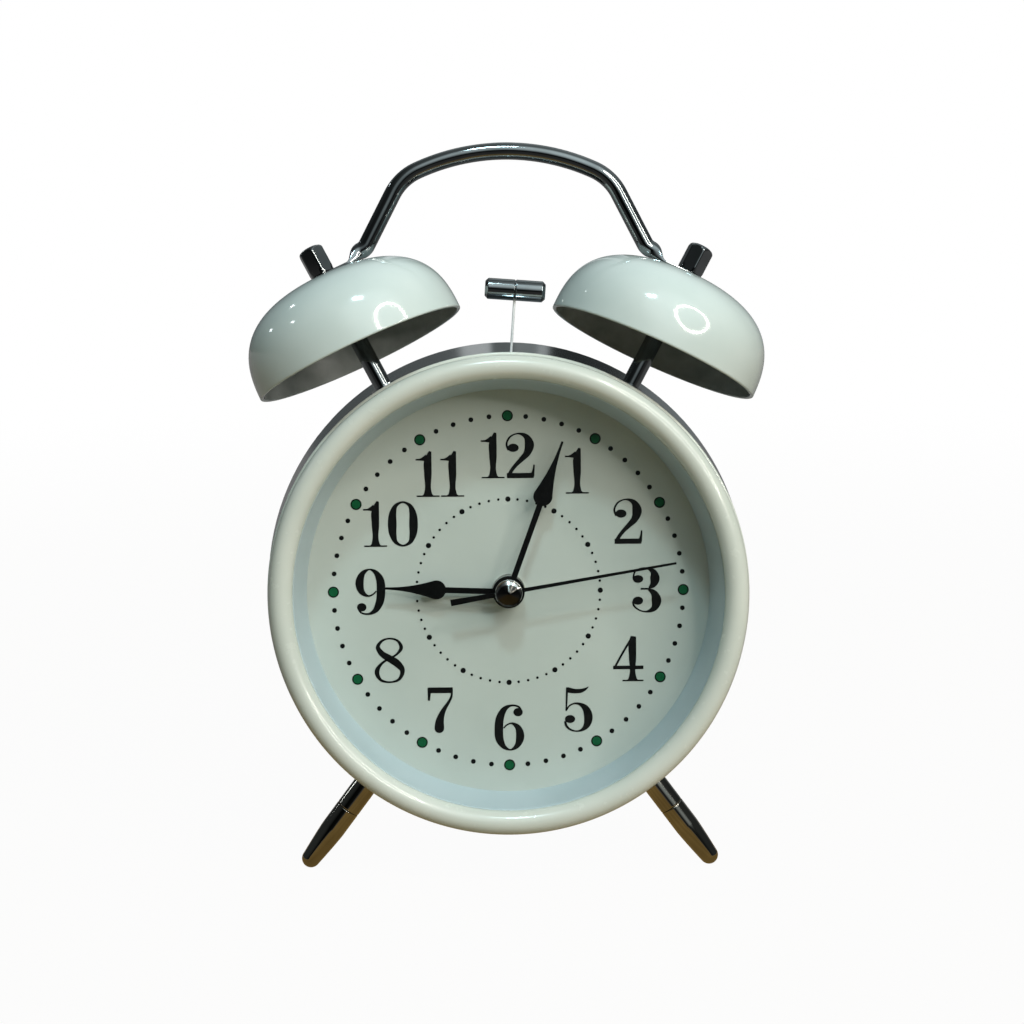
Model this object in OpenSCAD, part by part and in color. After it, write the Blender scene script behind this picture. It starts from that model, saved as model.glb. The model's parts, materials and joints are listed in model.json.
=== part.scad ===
// Twin-bell alarm clock. It leans back on two turned legs and the rear rim of its drum.
// Millimetres. +Z is up, the dial faces -Y, and left and right are as seen from the front.
// Every piece is drawn in the clock's own axes: Y runs back from the front of the bezel along the
// dial's axis, Z is up the dial. stand() then tilts the clock back onto its three feet.

/* [Bezel and glass] */
// Diameter of the bezel's rounded front ring
bezel_d = 105.4; // [100:0.1:112]
// Radial width of the front ring
ring_w = 5.2; // [4.8:0.1:6]
// Depth of the bezel, front to back
bezel_depth = 11; // [10:0.1:13]
// How far the rear flange stands out past the front ring
flange_out = 1; // [0.5:0.1:2]
// Depth of the rear flange
flange_w = 3.2; // [2.2:0.1:3.6]
// Radius of the flange's edges
flange_edge = 0.8; // [0.3:0.1:1]
// Width of the groove in front of the flange
groove_w = 1; // [0.4:0.1:1.4]
// Wall of the bezel around the drum
bezel_skin = 1.3; // [1:0.1:2]
// Flat part of the lip behind the rounded front
lip_flat = 0.5; // [0.2:0.1:1]
// Thickness of the glass
glass_t = 2; // [1.2:0.1:2.4]
// Width of glass held behind the lip
glass_lap = 1.5; // [1:0.1:1.9]

/* [Dial] */
// Depth of the dial's face behind the front of the bezel
dial_y = 17; // [15.5:0.1:18.5]
// Thickness of the dial
dial_t = 0.8; // [0.5:0.1:1.2]
// Radius that the recess wall loses between glass and dial
recess_taper = 1.7; // [0.8:0.1:3]
// Thickness of the recess wall
recess_t = 0.9; // [0.6:0.1:1.4]
// Thickness of the recess wall's front flange
recess_flange = 1.3; // [0.8:0.1:1.6]

/* [Drum] */
// Thickness of the drum's sheet
drum_wall = 0.8; // [0.5:0.1:1.2]
// Step from the drum's front spigot to its cone
drum_step = 0.8; // [0.5:0.1:1.2]
// Radius that the cone gains towards the back
flare = 6.5; // [5:0.1:7.5]
// Thickness of the flat seats for posts and legs, outside the sheet
seat_out = 1; // [0.9:0.1:1.4]
// Thickness of the flat seats inside the sheet
seat_in = 1.2; // [1:0.1:1.5]
// Width of a seat around its post or leg
seat_rim = 1; // [0.6:0.1:1.6]

/* [Bells and posts] */
// Depth of the plane that holds posts, bells, handle and hammer
crown_y = 20; // [19.5:0.1:22]
// Lean of posts, bells and handle towards the back
crown_lean = 2; // [0:0.5:3]
// Diameter of a bell's mouth
bell_d = 50.2; // [46:0.1:52]
// Height of a bell
bell_h = 19.4; // [17:0.1:21]
// Thickness of a bell's wall
bell_wall = 0.9; // [0.6:0.1:1.3]
// Fullness of a bell's dome: 2 is an ellipse, more is fuller
bell_fullness = 2.7; // [2.3:0.1:3.2]
// Angle of the posts from upright
post_tilt = 28; // [26:0.5:30]
// Angle by which a bell sits flatter than its post
bell_slack = 3; // [0:0.5:3.5]
// Angle of a post's foot round the drum from the top
foot_angle = 31.2; // [30:0.2:33]
// Length of a post from the drum to the top of its bell
post_len = 29.1; // [28:0.1:31]
// Diameter of a post
post_d = 4.1; // [3.8:0.1:5]
// Diameter of the threaded ends of posts and leg screws
stud_d = 3; // [2.4:0.1:3.2]
// Width across flats of a cap nut
cap_af = 5.5; // [5.2:0.1:6.5]
// Height of a cap nut
cap_h = 6.6; // [5:0.1:7.5]
// Width across flats of a nut inside the drum
nut_af = 5.5; // [5:0.1:6]
// Height of a nut inside the drum
nut_h = 2.2; // [1.6:0.1:2.6]

/* [Handle] */
// Diameter of the handle's bar
bar_d = 3.9; // [3.2:0.1:4.4]
// Length of a straight leg up to the corner with the arch
handle_leg = 17.8; // [15:0.1:20]
// Slope of the straight legs
handle_slope = 63; // [59:0.5:66]
// Rise of the arch above those corners
arch_rise = 6.4; // [5.6:0.1:8]
// Radius of the shoulders
shoulder_r = 12; // [8:0.5:14]
// Radius of the bends above the bells
foot_bend_r = 3; // [2.5:0.5:5]
// Thickness of the flattened ends
tab_t = 0.8; // [0.6:0.1:1.2]
// Width of the flattened ends
tab_w = 6.2; // [5.8:0.1:7]
// Length from the nut's axis to the round bar
tab_reach = 10.1; // [9:0.1:11]

/* [Legs] */
// Depth of the legs' plane
leg_y = 16; // [15.2:0.1:18]
// Angle of the legs from straight down
leg_angle = 36.8; // [34:0.2:40]
// Diameter of a leg
leg_d = 5.5; // [4.8:0.1:6]
// Length of the collar from the drum to the foot
collar_len = 8.7; // [6:0.1:10]
// Length of a foot
foot_len = 16.3; // [14:0.1:18]
// Length of a foot's straight part
foot_straight = 5.6; // [4:0.1:7]
// Diameter of a foot's rounded tip
tip_d = 4.2; // [3.4:0.1:4.6]

/* [Hammer] */
// Depth of the pivot below the drum's top
pivot_drop = 12.4; // [11:0.1:13.5]
// Diameter of the pivot pin
pivot_d = 2; // [1.6:0.1:2.4]
// Angle at which the hammer stands, to the right of centre
hammer_rest = 4.2; // [0:0.1:5]
// Height of the head's centre above the bells' inner rims
strike_h = 4; // [3.4:0.1:4.6]
// Room between the centred head and each bell
head_play = 3.6; // [3.2:0.1:4.2]
// Diameter of the head
head_d = 4.8; // [4:0.1:5.4]
// Diameter of the wire
wire_d = 0.6; // [0.5:0.1:1]
// Throw of the motor's crank pin
crank_throw = 1; // [0.6:0.1:1.3]

/* [Hands] */
// Length of the hour hand
hour_len = 28; // [24:0.5:30]
// Length of the minute hand
minute_len = 36; // [32:0.5:38]
// Length of the hour hand's point beyond its bulb's centre
hour_point = 11.7; // [9:0.1:13]
// Length of the minute hand's point beyond its bulb's centre
minute_point = 13.1; // [10:0.1:15]
// Length of the second hand
second_len = 38.2; // [34:0.2:40]
// Length of the alarm hand
alarm_len = 20; // [16:0.5:24]
// Length of the second hand's tail
tail_len = 13.2; // [10:0.2:15]
// Diameter of the bulbs on the hour and minute hands
bulb_d = 4.3; // [3.6:0.1:5]
// Diameter of the hubs of the hands
hub_d = 7.2; // [6.4:0.1:8]
// Thickness of a hand
hand_t = 0.4; // [0.3:0.05:0.5]
// Step from one hand to the next
hand_step = 1.3; // [1.1:0.1:1.4]
// Diameter of the centre cap
cap_d = 6.1; // [5.4:0.1:6.8]
// Height of the centre cap
cap_rise = 2.8; // [2:0.1:3.2]

/* [Movement] */
// Width of the movement's case
movement_w = 48; // [46:0.5:52]
// Top of the movement's case above the dial's axis
movement_up = 13; // [12.6:0.1:14]
// Bottom of the movement's case below the dial's axis
movement_down = 21.5; // [20:0.1:22]
// Wall of the movement's case
movement_wall = 1.1; // [0.8:0.1:1.3]
// Depth of the movement's front half
front_half = 10; // [9.8:0.1:11]
// Depth of the movement's rear half
rear_half = 9.2; // [8.5:0.1:10]
// Tooth module of the setting and alarm wheels
tooth_m = 0.5; // [0.48:0.01:0.5]
// Diameter of the setting stems at the knobs
stem_d = 3; // [2.6:0.1:3.4]
// Length of the striker motor
motor_len = 17; // [15:0.5:19]
// Width of the striker motor
motor_w = 20; // [18:0.5:21]
// Height of the striker motor over its flats
motor_h = 15; // [13:0.5:15.5]

/* [Back] */
// Thickness of the back cover
cover_t = 2; // [1.6:0.1:2.4]
// Room between the striker motor and the back cover
rear_room = 1.4; // [1:0.1:2.5]
// Depth of the back cover inside the drum's rear rim
cover_inset = 4.4; // [3.4:0.1:5.5]
// Diameter of the knobs
knob_d = 13; // [11:0.5:15]
// Height of the knobs
knob_h = 7.5; // [6:0.5:9]
// Diameter of the battery cell
cell_d = 14.2; // [13.8:0.1:14.6]
// Length of the battery cell
cell_len = 50; // [48:0.5:50.5]
// Height of the battery below the dial's axis
cell_down = 32.5; // [32:0.1:33]
// Thickness of the battery door
door_t = 1.2; // [0.8:0.1:1.4]
// Width of the battery door's seat around the opening
door_lap = 2.2; // [1.6:0.1:3]
// Travel of the alarm switch
switch_travel = 4; // [3:0.5:5]

/* [Hidden] */
$fn = 64;
fit = 0.2;          // clearance of pieces that are fixed together
run = 0.08;         // running clearance of pivots, pipes and stems
free = 0.3;         // free space between moving pieces

// Rings and radii of the front
bezel_r = bezel_d / 2;
opening_r = bezel_r - ring_w;
nose_r = ring_w / 2;
glass_y = nose_r + lip_flat;
glass_r = opening_r + glass_lap;
recess_y = glass_y + glass_t;
drum_y = recess_y + recess_flange;
bore_r = bezel_r - bezel_skin;
flange_r = bezel_r + flange_out;
dial_r = opening_r - recess_taper + recess_t;
dial_back = dial_y + dial_t;

// Depths of the movement, the striker and the back
movement_y = dial_back;
split_y = movement_y + front_half;
movement_end = split_y + rear_half;
lever_t = 1.6;
crank_t = 1.2;
bracket_t = 1.4;
lever_y = crown_y - lever_t / 2;
crank_y = lever_y + lever_t + free;
bracket_y = crank_y + crank_t + free;
motor_y = bracket_y + bracket_t;
motor_end = motor_y + motor_len;
cover_y = motor_end + rear_room;
cover_back = cover_y + cover_t;
rear_y = cover_y + cover_inset;
knob_y = cover_back + 2 * free;

// The drum's cone
spigot_r = bore_r - fit;
front_r = spigot_r + drum_step;
rear_r = front_r + flare;
rim_r = drum_wall / 2;
rim_ring_r = rear_r - rim_r;
function drum_r(y) = front_r + flare * (y - bezel_depth) / (rear_y - bezel_depth);

// Posts and bells: places across the clock and up the dial, for the right side
seat_r = drum_r(crown_y);
bell_tilt = post_tilt - bell_slack;
up = [sin(bell_tilt), cos(bell_tilt)];
out = [cos(bell_tilt), -sin(bell_tilt)];
foot = seat_r * [sin(foot_angle), cos(foot_angle)];
bell_top = foot + post_len * [sin(post_tilt), cos(post_tilt)];
mouth = bell_top - bell_h * up;
bell_r = bell_d / 2;
inner_rim = mouth - bell_r * out;
cap_corner_r = cap_af / 2 / cos(30);
nut_base = post_len + tab_t + cap_corner_r * sin(bell_slack);
cap_solid = 2;      // metal of a cap nut above its stud
stud_up = cap_h - cap_solid;
seat_depth = drum_wall + seat_in;

// Handle: the bar's line for the right side
bar_lift = fit;
bar_lap = 0.3;      // length by which straight and bent stretches run into each other
draw = 0.05;        // by which the bar draws thinner between its bends
bar_end = bell_top + (bar_d / 2 + bar_lift) * up - tab_reach * out;
slope_dir = [cos(handle_slope), -sin(handle_slope)];
slope_up = [sin(handle_slope), cos(handle_slope)];
bend_angle = handle_slope - bell_tilt;
bend_at = bar_end - foot_bend_r * tan(bend_angle / 2) * out;
bend_centre = bar_end + foot_bend_r * up;
corner = bend_at - handle_leg * slope_dir;
arch_r = (corner[0] * corner[0] + arch_rise * arch_rise) / (2 * arch_rise);
arch_z = corner[1] + arch_rise - arch_r;
arch_half = handle_slope - acos(((bend_at - [0, arch_z]) * slope_up - shoulder_r) / (arch_r - shoulder_r));
shoulder_at = [0, arch_z] + (arch_r - shoulder_r) * [sin(arch_half), cos(arch_half)];

// Hammer and striker
pivot_z = drum_r(crown_y) - pivot_drop;
arm_len = inner_rim[1] + strike_h - pivot_z;
head_len = 2 * (inner_rim[0] - head_play);
bracket_base = 1.4;
motor_z = movement_up + bracket_base + motor_h / 2 + run;
crank_drop = pivot_z - motor_z;
crank_pin_r = 0.6;
motor_boss_r = 3;
shaft_r = 1;
swing = asin((head_play + free) / arm_len);
fork_half = crank_throw + crank_pin_r + crank_drop * sin(swing) + free;

// Legs and the lean of the clock on leg tips and rear rim
leg_seat_r = drum_r(leg_y);
tip_r = tip_d / 2;
tip_reach = leg_seat_r + collar_len + foot_len - tip_r;
tip_z = -tip_reach * cos(leg_angle);
lean_a = tip_z + rim_ring_r;
lean_b = rear_y - leg_y;
lean = asin((tip_r - rim_r) / norm([lean_a, lean_b])) - atan2(lean_a, lean_b);
ground = tip_z * cos(lean) - leg_y * sin(lean) - tip_r;
front_most = nose_r * cos(lean) - (bezel_r - nose_r) * sin(lean) - nose_r;
rim_back = rear_y * cos(lean) + rim_ring_r * sin(lean) + rim_r;

// Hands: front face of each, from the alarm hand forwards
hand_lift = 1.8;
alarm_hand_y = dial_y - hand_lift;
hour_hand_y = alarm_hand_y - hand_step;
minute_hand_y = hour_hand_y - hand_step;
second_hand_y = minute_hand_y - hand_step;
pipe_lead = 0.4;

// Clock angles of the hands as they stand
hour_at = 272;
minute_at = 20;
second_at = 80.4;

// Coaxial arbor and pipes
arbor_r = 0.6;
pipe_t = 0.54;
minute_pipe_r = arbor_r + run + pipe_t;
hour_pipe_r = minute_pipe_r + run + pipe_t;
alarm_pipe_r = hour_pipe_r + run + pipe_t;
bush_bore_r = alarm_pipe_r + run;
bush_r = bush_bore_r + 1;
bush_out = 1.1;

// Wheels: depths, teeth and the stems' places
wheel_t = 1;
alarm_wheel_y = movement_y + movement_wall + free;
hour_wheel_y = alarm_wheel_y + wheel_t + 2 * free;
minute_wheel_y = hour_wheel_y + wheel_t + 3 * free;
second_wheel_y = minute_wheel_y + 2 * wheel_t + 3 * free;
wheel_teeth = 36;
pinion_teeth = 12;
stem_reach = tooth_m * (wheel_teeth + pinion_teeth) / 2;
hour_teeth = 40;
hour_pinion_teeth = 10;
hour_m = 2 * stem_reach / (hour_teeth + hour_pinion_teeth);
stem_low = 30;
time_at = 180 + stem_low;
alarm_at = -stem_low;
time_stem = stem_reach * [cos(time_at), sin(time_at)];
alarm_stem_at = stem_reach * [cos(alarm_at), sin(alarm_at)];
knob_back = (knob_y + knob_h) * cos(lean) + (knob_d / 2 + time_stem[1]) * sin(lean);
rear_most = max(rim_back, knob_back);
second_teeth = 60;
second_m = 0.25;
journal_r = 0.8;

// Battery tray in the back cover
cell_room = 0.3;
contact_t = 0.4;
tray_wall = 1.2;
tray_w = cell_len + 2 * contact_t + 2 * cell_room;
tray_h = cell_d + 2 * cell_room;
tray_front = cover_back - door_t - tray_h;
cell_y = tray_front + cell_room + cell_d / 2;

// Back cover: screws, switch
screw_r = 1.25;
screw_inset = 5;
screw_ring = drum_r(cover_y) - drum_wall - screw_inset;
screw_angles = [90, 210, 330];
lug_d = 7;
lug_len = 6;
switch_at = [22, 14];
switch_neck = [3, 2.2];

enamel = "#dfe7e6";
plating = "#2b2b2d";
steel = "#b9bdc0";
brass = "#b8963e";
black = "#161616";
plastic = "#e9e9e4";

// Tilts the clock back onto its feet and puts the origin under the middle of its box
module stand() {
    translate([0, -(front_most + rear_most) / 2, -ground])
        rotate([-lean, 0, 0])
            children();
}

// A flat piece drawn across the clock, from depth y to y + t
module plate(y, t) {
    translate([0, y + t, 0])
        rotate([90, 0, 0])
            linear_extrude(t)
                children();
}

// A turned piece on the dial's axis, drawn as radius across and depth up
module spun() {
    rotate([-90, 0, 0])
        rotate_extrude()
            children();
}

// A round rod along the dial's axis from depth y to z
module rod(y, z, r) {
    translate([0, y, 0])
        rotate([-90, 0, 0])
            cylinder(h = z - y, r = r);
}

// Moves a piece across the clock to a place [across, up]
module at(p) {
    translate([p[0], 0, p[1]])
        children();
}

// The plane of posts, bells and handle, leaning back about the line of the posts' feet
module crown() {
    translate([0, crown_y, foot[1]])
        rotate([-crown_lean, 0, 0])
            translate([0, 0, -foot[1]])
                children();
}

// The axis of a post: its +Z runs out of the drum from the drum's surface
module at_post(side) {
    crown()
        translate([side * foot[0], 0, foot[1]])
            rotate([0, side * post_tilt, 0])
                children();
}

// The top of a bell in the crown's plane: its +Z runs out of the bell along its axis
module bell_axis(side) {
    translate([side * bell_top[0], 0, bell_top[1]])
        rotate([0, side * bell_tilt, 0])
            children();
}

// The axis of a leg: its +Z runs out of the drum from the drum's surface
module at_leg(side) {
    translate([side * leg_seat_r * sin(leg_angle), leg_y, -leg_seat_r * cos(leg_angle)])
        rotate([0, side * (180 - leg_angle), 0])
            children();
}

// The hammer's pivot: its +Z runs along the wire as the hammer stands
module at_pivot() {
    translate([0, 0, pivot_z])
        rotate([0, hammer_rest, 0])
            children();
}

// Outline of a wheel with straight-sided teeth, one of them centred on the given angle
module toothed(teeth, m, angle) {
    pitch = 360 / teeth;
    tip = m * teeth / 2 + 0.7 * m;
    root = m * teeth / 2 - 0.95 * m;
    corners = [[root, -0.26], [tip, -0.1], [tip, 0.1], [root, 0.26]];
    polygon([
        for (i = [0 : teeth - 1], c = corners)
            c[0] * [cos(angle + (i + c[1]) * pitch), sin(angle + (i + c[1]) * pitch)]
    ]);
}

// Half of a bell's dome in section, as radius and height
function dome(r, h) = [
    for (a = [0 : 3 : 90])
        [r * pow(cos(a), 2 / bell_fullness), h * pow(sin(a), 2 / bell_fullness)]
];

// Solid inside the drum's outer surface, behind the bezel
module drum_solid() {
    spun()
        polygon([[0, bezel_depth], [front_r, bezel_depth], [rear_r, rear_y], [0, rear_y]]);
}

module drum_sheet() {
    inner_y = bezel_depth + drum_wall;
    spun() {
        polygon([
            [spigot_r - drum_wall, drum_y], [spigot_r, drum_y],
            [spigot_r, bezel_depth], [front_r, bezel_depth],
            [rear_r, rear_y], [rear_r - drum_wall, rear_y],
            [drum_r(inner_y) - drum_wall, inner_y], [spigot_r - drum_wall, inner_y]
        ]);
        translate([rim_ring_r, rear_y])
            circle(rim_r);
    }
}

// One of the lugs that take the back cover's screws
module cover_lug(angle) {
    intersection() {
        drum_solid();
        rotate([0, -angle, 0])
            union() {
                translate([screw_ring, 0, 0])
                    rod(cover_y - lug_len, cover_y, lug_d / 2);
                translate([screw_ring, cover_y - lug_len, -lug_d / 2])
                    cube([rear_r - screw_ring, lug_len, lug_d]);
            }
    }
}

module case_drum() {
    slot = [2 * (pivot_drop * tan(swing) + wire_d), 2.4 * wire_d, 10];
    color(steel) stand() difference() {
        union() {
            drum_sheet();
            for (side = [-1, 1]) {
                at_post(side)
                    translate([0, 0, -seat_depth])
                        cylinder(h = seat_depth + seat_out, d = post_d + 2 * seat_rim);
                at_leg(side)
                    translate([0, 0, -seat_depth])
                        cylinder(h = seat_depth + seat_out, d = leg_d + 2 * seat_rim);
            }
            for (angle = screw_angles)
                cover_lug(angle);
        }
        for (side = [-1, 1]) {
            at_post(side)
                cylinder(h = 4 * seat_depth, d = stud_d + fit, center = true);
            at_leg(side)
                cylinder(h = 4 * seat_depth, d = stud_d + fit, center = true);
        }
        translate([0, crown_y, seat_r])
            cube(slot, center = true);
        for (angle = screw_angles)
            rotate([0, -angle, 0])
                translate([screw_ring, 0, 0])
                    rod(cover_y - lug_len - fit, cover_y + fit, screw_r + run);
    }
}

module bezel() {
    flange_y = bezel_depth - flange_w;
    color(enamel) stand() spun() difference() {
        union() {
            translate([bezel_r - nose_r, nose_r])
                circle(nose_r);
            translate([opening_r, nose_r])
                square([ring_w, lip_flat]);
            translate([glass_r + fit, nose_r])
                square([bezel_r - glass_r - fit, recess_y - nose_r]);
            translate([bore_r, nose_r])
                square([bezel_skin, bezel_depth - nose_r]);
            translate([bore_r, flange_y])
                square([flange_r - bore_r - flange_edge, flange_w]);
            translate([bore_r, flange_y + flange_edge])
                square([flange_r - bore_r, flange_w - 2 * flange_edge]);
            for (y = [flange_y + flange_edge, bezel_depth - flange_edge])
                translate([flange_r - flange_edge, y])
                    circle(flange_edge);
        }
        translate([bezel_r, flange_y - groove_w / 2])
            circle(d = groove_w);
        translate([opening_r - fit, glass_y])
            square([glass_lap + 2 * fit, glass_t]);
        translate([opening_r - fit, recess_y])
            square([bore_r - opening_r + fit, bezel_depth]);
    }
}

module glass() {
    color("#cfe4ea", 0.25) stand()
        rod(glass_y, recess_y, glass_r);
}

module dial_ring() {
    back_r = opening_r - recess_taper;
    neck_y = recess_y + recess_flange;
    color("#dbe6ee") stand() spun()
        polygon([
            [opening_r, recess_y], [spigot_r - fit, recess_y], [spigot_r - fit, neck_y],
            [opening_r + recess_t, neck_y], [back_r + recess_t, dial_y], [back_r, dial_y]
        ]);
}

module dial() {
    color("#f2f4f2") stand() difference() {
        rod(dial_y, dial_back, dial_r);
        rod(dial_y - 1, dial_back + 1, bush_r + fit);
    }
}

// The drum's posts, with threaded ends for the nut inside and the cap nut above
module post(side) {
    shoulder = post_len - bell_wall - post_d / 2 * sin(bell_slack) - run;
    low_end = seat_depth + nut_h + 0.6;
    color(plating) stand() at_post(side) {
        translate([0, 0, seat_out])
            cylinder(h = shoulder - seat_out, d = post_d);
        translate([0, 0, -low_end])
            cylinder(h = low_end + nut_base + stud_up, d = stud_d);
    }
}

module left_post() {
    post(-1);
}

module right_post() {
    post(1);
}

module post_nuts() {
    color(steel) stand()
        for (side = [-1, 1])
            at_post(side)
                translate([0, 0, -seat_depth - nut_h])
                    difference() {
                        cylinder(h = nut_h, d = nut_af / cos(30), $fn = 6);
                        translate([0, 0, -1])
                            cylinder(h = nut_h + 2, d = stud_d + fit);
                    }
}

module bell(side) {
    inner = dome(bell_r - bell_wall, bell_h - bell_wall);
    color(enamel) stand() crown() bell_axis(side)
        translate([0, 0, -bell_h])
            difference() {
                rotate_extrude()
                    polygon(concat(dome(bell_r, bell_h), [for (i = [len(inner) - 1 : -1 : 0]) inner[i]]));
                cylinder(h = 2 * bell_h, d = stud_d + fit);
            }
}

module left_bell() {
    bell(-1);
}

module right_bell() {
    bell(1);
}

module cap_nut(side) {
    crown_h = 1.6;
    crown_r = cap_af / 2 - 1.1;
    edge_r = cap_corner_r - crown_r;
    color(plating) stand() at_post(side)
        translate([0, 0, nut_base])
            difference() {
                intersection() {
                    cylinder(h = cap_h, r = cap_corner_r, $fn = 6);
                    rotate_extrude()
                        polygon(concat(
                            [[0, 0], [cap_corner_r, 0]],
                            [for (a = [0 : 15 : 90])
                                [crown_r + edge_r * cos(a), cap_h - crown_h * (1 - sin(a))]],
                            [[0, cap_h]]
                        ));
                }
                translate([0, 0, -1])
                    cylinder(h = stud_up + 1.2, d = stud_d + fit / 2);
            }
}

module left_cap_nut() {
    cap_nut(-1);
}

module right_cap_nut() {
    cap_nut(1);
}

// A bent stretch of the handle's bar about a centre [across, up]
module bend(centre, r, from, sweep, d) {
    translate([centre[0], 0, centre[1]])
        rotate([90, 0, 0])
            rotate([0, 0, from])
                rotate_extrude(angle = sweep)
                    translate([r, 0])
                        circle(d = d);
}

// Flattened end of the handle: the bar spreads into a drilled tab under the cap nut
module handle_tab() {
    flat_from = 0.6 * tab_reach;
    spread_from = tab_reach + bar_lap;
    low = bar_lift - draw;
    high = low + bar_d + 2 * draw;
    half = bar_d / 2 + draw;
    intersection() {
        rotate([90, 0, 0])
            linear_extrude(tab_w, center = true)
                polygon([
                    [-spread_from, low], [-flat_from, 0],
                    [-flat_from, tab_t], [-spread_from, high]
                ]);
        linear_extrude(2 * bar_d)
            polygon([
                [-spread_from, -half], [-flat_from, -tab_w / 2],
                [-flat_from, tab_w / 2], [-spread_from, half]
            ]);
    }
    linear_extrude(tab_t)
        difference() {
            union() {
                translate([-flat_from, -tab_w / 2])
                    square([flat_from, tab_w]);
                circle(d = tab_w);
            }
            circle(d = stud_d + fit);
        }
}

module handle_side() {
    low = bend_centre - foot_bend_r * slope_up;
    high = shoulder_at + shoulder_r * slope_up;
    leg_from = high - bar_lap * slope_dir;
    bend(shoulder_at, shoulder_r, 90 - handle_slope, handle_slope - arch_half, bar_d);
    translate([leg_from[0], 0, leg_from[1]])
        rotate([0, 90 + handle_slope, 0])
            cylinder(h = norm(high - low) + 2 * bar_lap, d = bar_d - draw);
    bend(bend_centre, foot_bend_r, 270 - handle_slope, bend_angle, bar_d);
    bell_axis(1)
        handle_tab();
}

module handle() {
    arch_lap = bar_lap / arch_r * 180 / PI;
    arch_from = 90 - arch_half - arch_lap;
    color(plating) stand() crown() {
        bend([0, arch_z], arch_r, arch_from, 2 * (arch_half + arch_lap), bar_d - draw);
        handle_side();
        mirror([1, 0, 0])
            handle_side();
    }
}

module leg_collar(side) {
    color(plating) stand() at_leg(side)
        difference() {
            translate([0, 0, seat_out])
                cylinder(h = collar_len - seat_out, d = leg_d);
            cylinder(h = 2 * collar_len, d = stud_d + fit);
        }
}

module left_leg_collar() {
    leg_collar(-1);
}

module right_leg_collar() {
    leg_collar(1);
}

// A foot: straight, then drawn in to a rounded tip
module leg_foot(side) {
    taper = foot_len - foot_straight - tip_r;
    edge = 0.25;
    color(plating) stand() at_leg(side)
        translate([0, 0, collar_len])
            difference() {
                union() {
                    rotate_extrude()
                        polygon(concat(
                            [[0, 0], [leg_d / 2 - edge, 0], [leg_d / 2, edge], [leg_d / 2, foot_straight]],
                            [for (u = [0.25 : 0.25 : 1])
                                [leg_d / 2 - (leg_d - tip_d) / 2 * pow(u, 1.3), foot_straight + taper * u]],
                            [[0, foot_straight + taper]]
                        ));
                    translate([0, 0, foot_len - tip_r])
                        sphere(d = tip_d);
                }
                translate([0, 0, -1])
                    cylinder(h = foot_straight + 1.2, d = stud_d + fit / 2);
            }
}

module left_foot() {
    leg_foot(-1);
}

module right_foot() {
    leg_foot(1);
}

module leg_screws() {
    head_h = 1.6;
    color(steel) stand()
        for (side = [-1, 1])
            at_leg(side) {
                translate([0, 0, -seat_depth])
                    cylinder(h = seat_depth + collar_len + foot_straight - 0.4, d = stud_d);
                translate([0, 0, -seat_depth - head_h])
                    difference() {
                        cylinder(h = head_h, d = 1.8 * stud_d);
                        translate([-stud_d, -0.3, -1])
                            cube([2 * stud_d, 0.6, 1.6]);
                    }
            }
}

// Outline of the movement's case across the clock
module movement_outline(inset) {
    translate([-movement_w / 2 + inset, -movement_down + inset])
        square([movement_w - 2 * inset, movement_up + movement_down - 2 * inset]);
}

// Front half of the movement's case with the bush for the hands
module movement_plate() {
    floor_y = movement_y + movement_wall;
    color(plastic) stand() difference() {
        union() {
            plate(movement_y, front_half)
                movement_outline(0);
            rod(dial_y - bush_out, floor_y, bush_r);
        }
        plate(floor_y, front_half)
            movement_outline(movement_wall);
        rod(0, floor_y + 1, bush_bore_r);
        for (p = [time_stem, alarm_stem_at])
            at(p)
                rod(movement_y + free, floor_y + 1, journal_r + run);
    }
}

// Rear half of the movement's case, with the bearing of the second wheel and holes for the stems
module movement_cover() {
    wall_y = movement_end - movement_wall;
    bearing_y = second_wheel_y + wheel_t + free;
    color(plastic) stand() difference() {
        union() {
            difference() {
                plate(split_y, rear_half)
                    movement_outline(0);
                plate(split_y - 1, rear_half - movement_wall + 1)
                    movement_outline(movement_wall);
            }
            rod(bearing_y, wall_y, 2);
        }
        rod(bearing_y - 1, bearing_y + 3, arbor_r + run);
        for (p = [time_stem, alarm_stem_at])
            at(p)
                rod(wall_y - 1, movement_end + 1, stem_d / 2 + run);
    }
}

module stepper_coil() {
    coil_r = 3;
    coil_half = 8;
    cheek = 1;
    wound_r = coil_r - 0.5;
    coil_z = -movement_down + movement_wall + coil_r + fit;
    coil_y = split_y + rear_half / 2 - 1;
    color(brass) stand()
        translate([0, coil_y, coil_z])
            rotate([0, 90, 0])
                rotate_extrude()
                    polygon([
                        [0, -coil_half], [coil_r, -coil_half], [coil_r, cheek - coil_half],
                        [wound_r, cheek - coil_half], [wound_r, coil_half - cheek],
                        [coil_r, coil_half - cheek], [coil_r, coil_half], [0, coil_half]
                    ]);
}

module circuit_board() {
    board = [0.62 * movement_w, 0.5 * movement_up];
    board_t = 1.2;
    color("#2f6b3c") stand() difference() {
        plate(movement_end - movement_wall - board_t, board_t)
            translate([-board[0] / 2, movement_up - movement_wall - board[1] - fit])
                square(board);
        for (x = [-1, 1])
            at([x * (board[0] / 2 - 2), movement_up - movement_wall - board[1] / 2])
                rod(split_y, movement_end, 0.8);
    }
}

module battery_cell() {
    nub = [2.6, 1];
    edge = 0.6;
    shell_r = cell_d / 2;
    shell_len = cell_len - nub[1];
    color("#3a4a6b") stand()
        translate([-cell_len / 2, cell_y, -cell_down])
            rotate([0, 90, 0])
                rotate_extrude()
                    polygon([
                        [0, 0], [shell_r - edge, 0], [shell_r, edge], [shell_r, shell_len - edge],
                        [shell_r - edge, shell_len], [nub[0], shell_len], [nub[0], cell_len], [0, cell_len]
                    ]);
}

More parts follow.
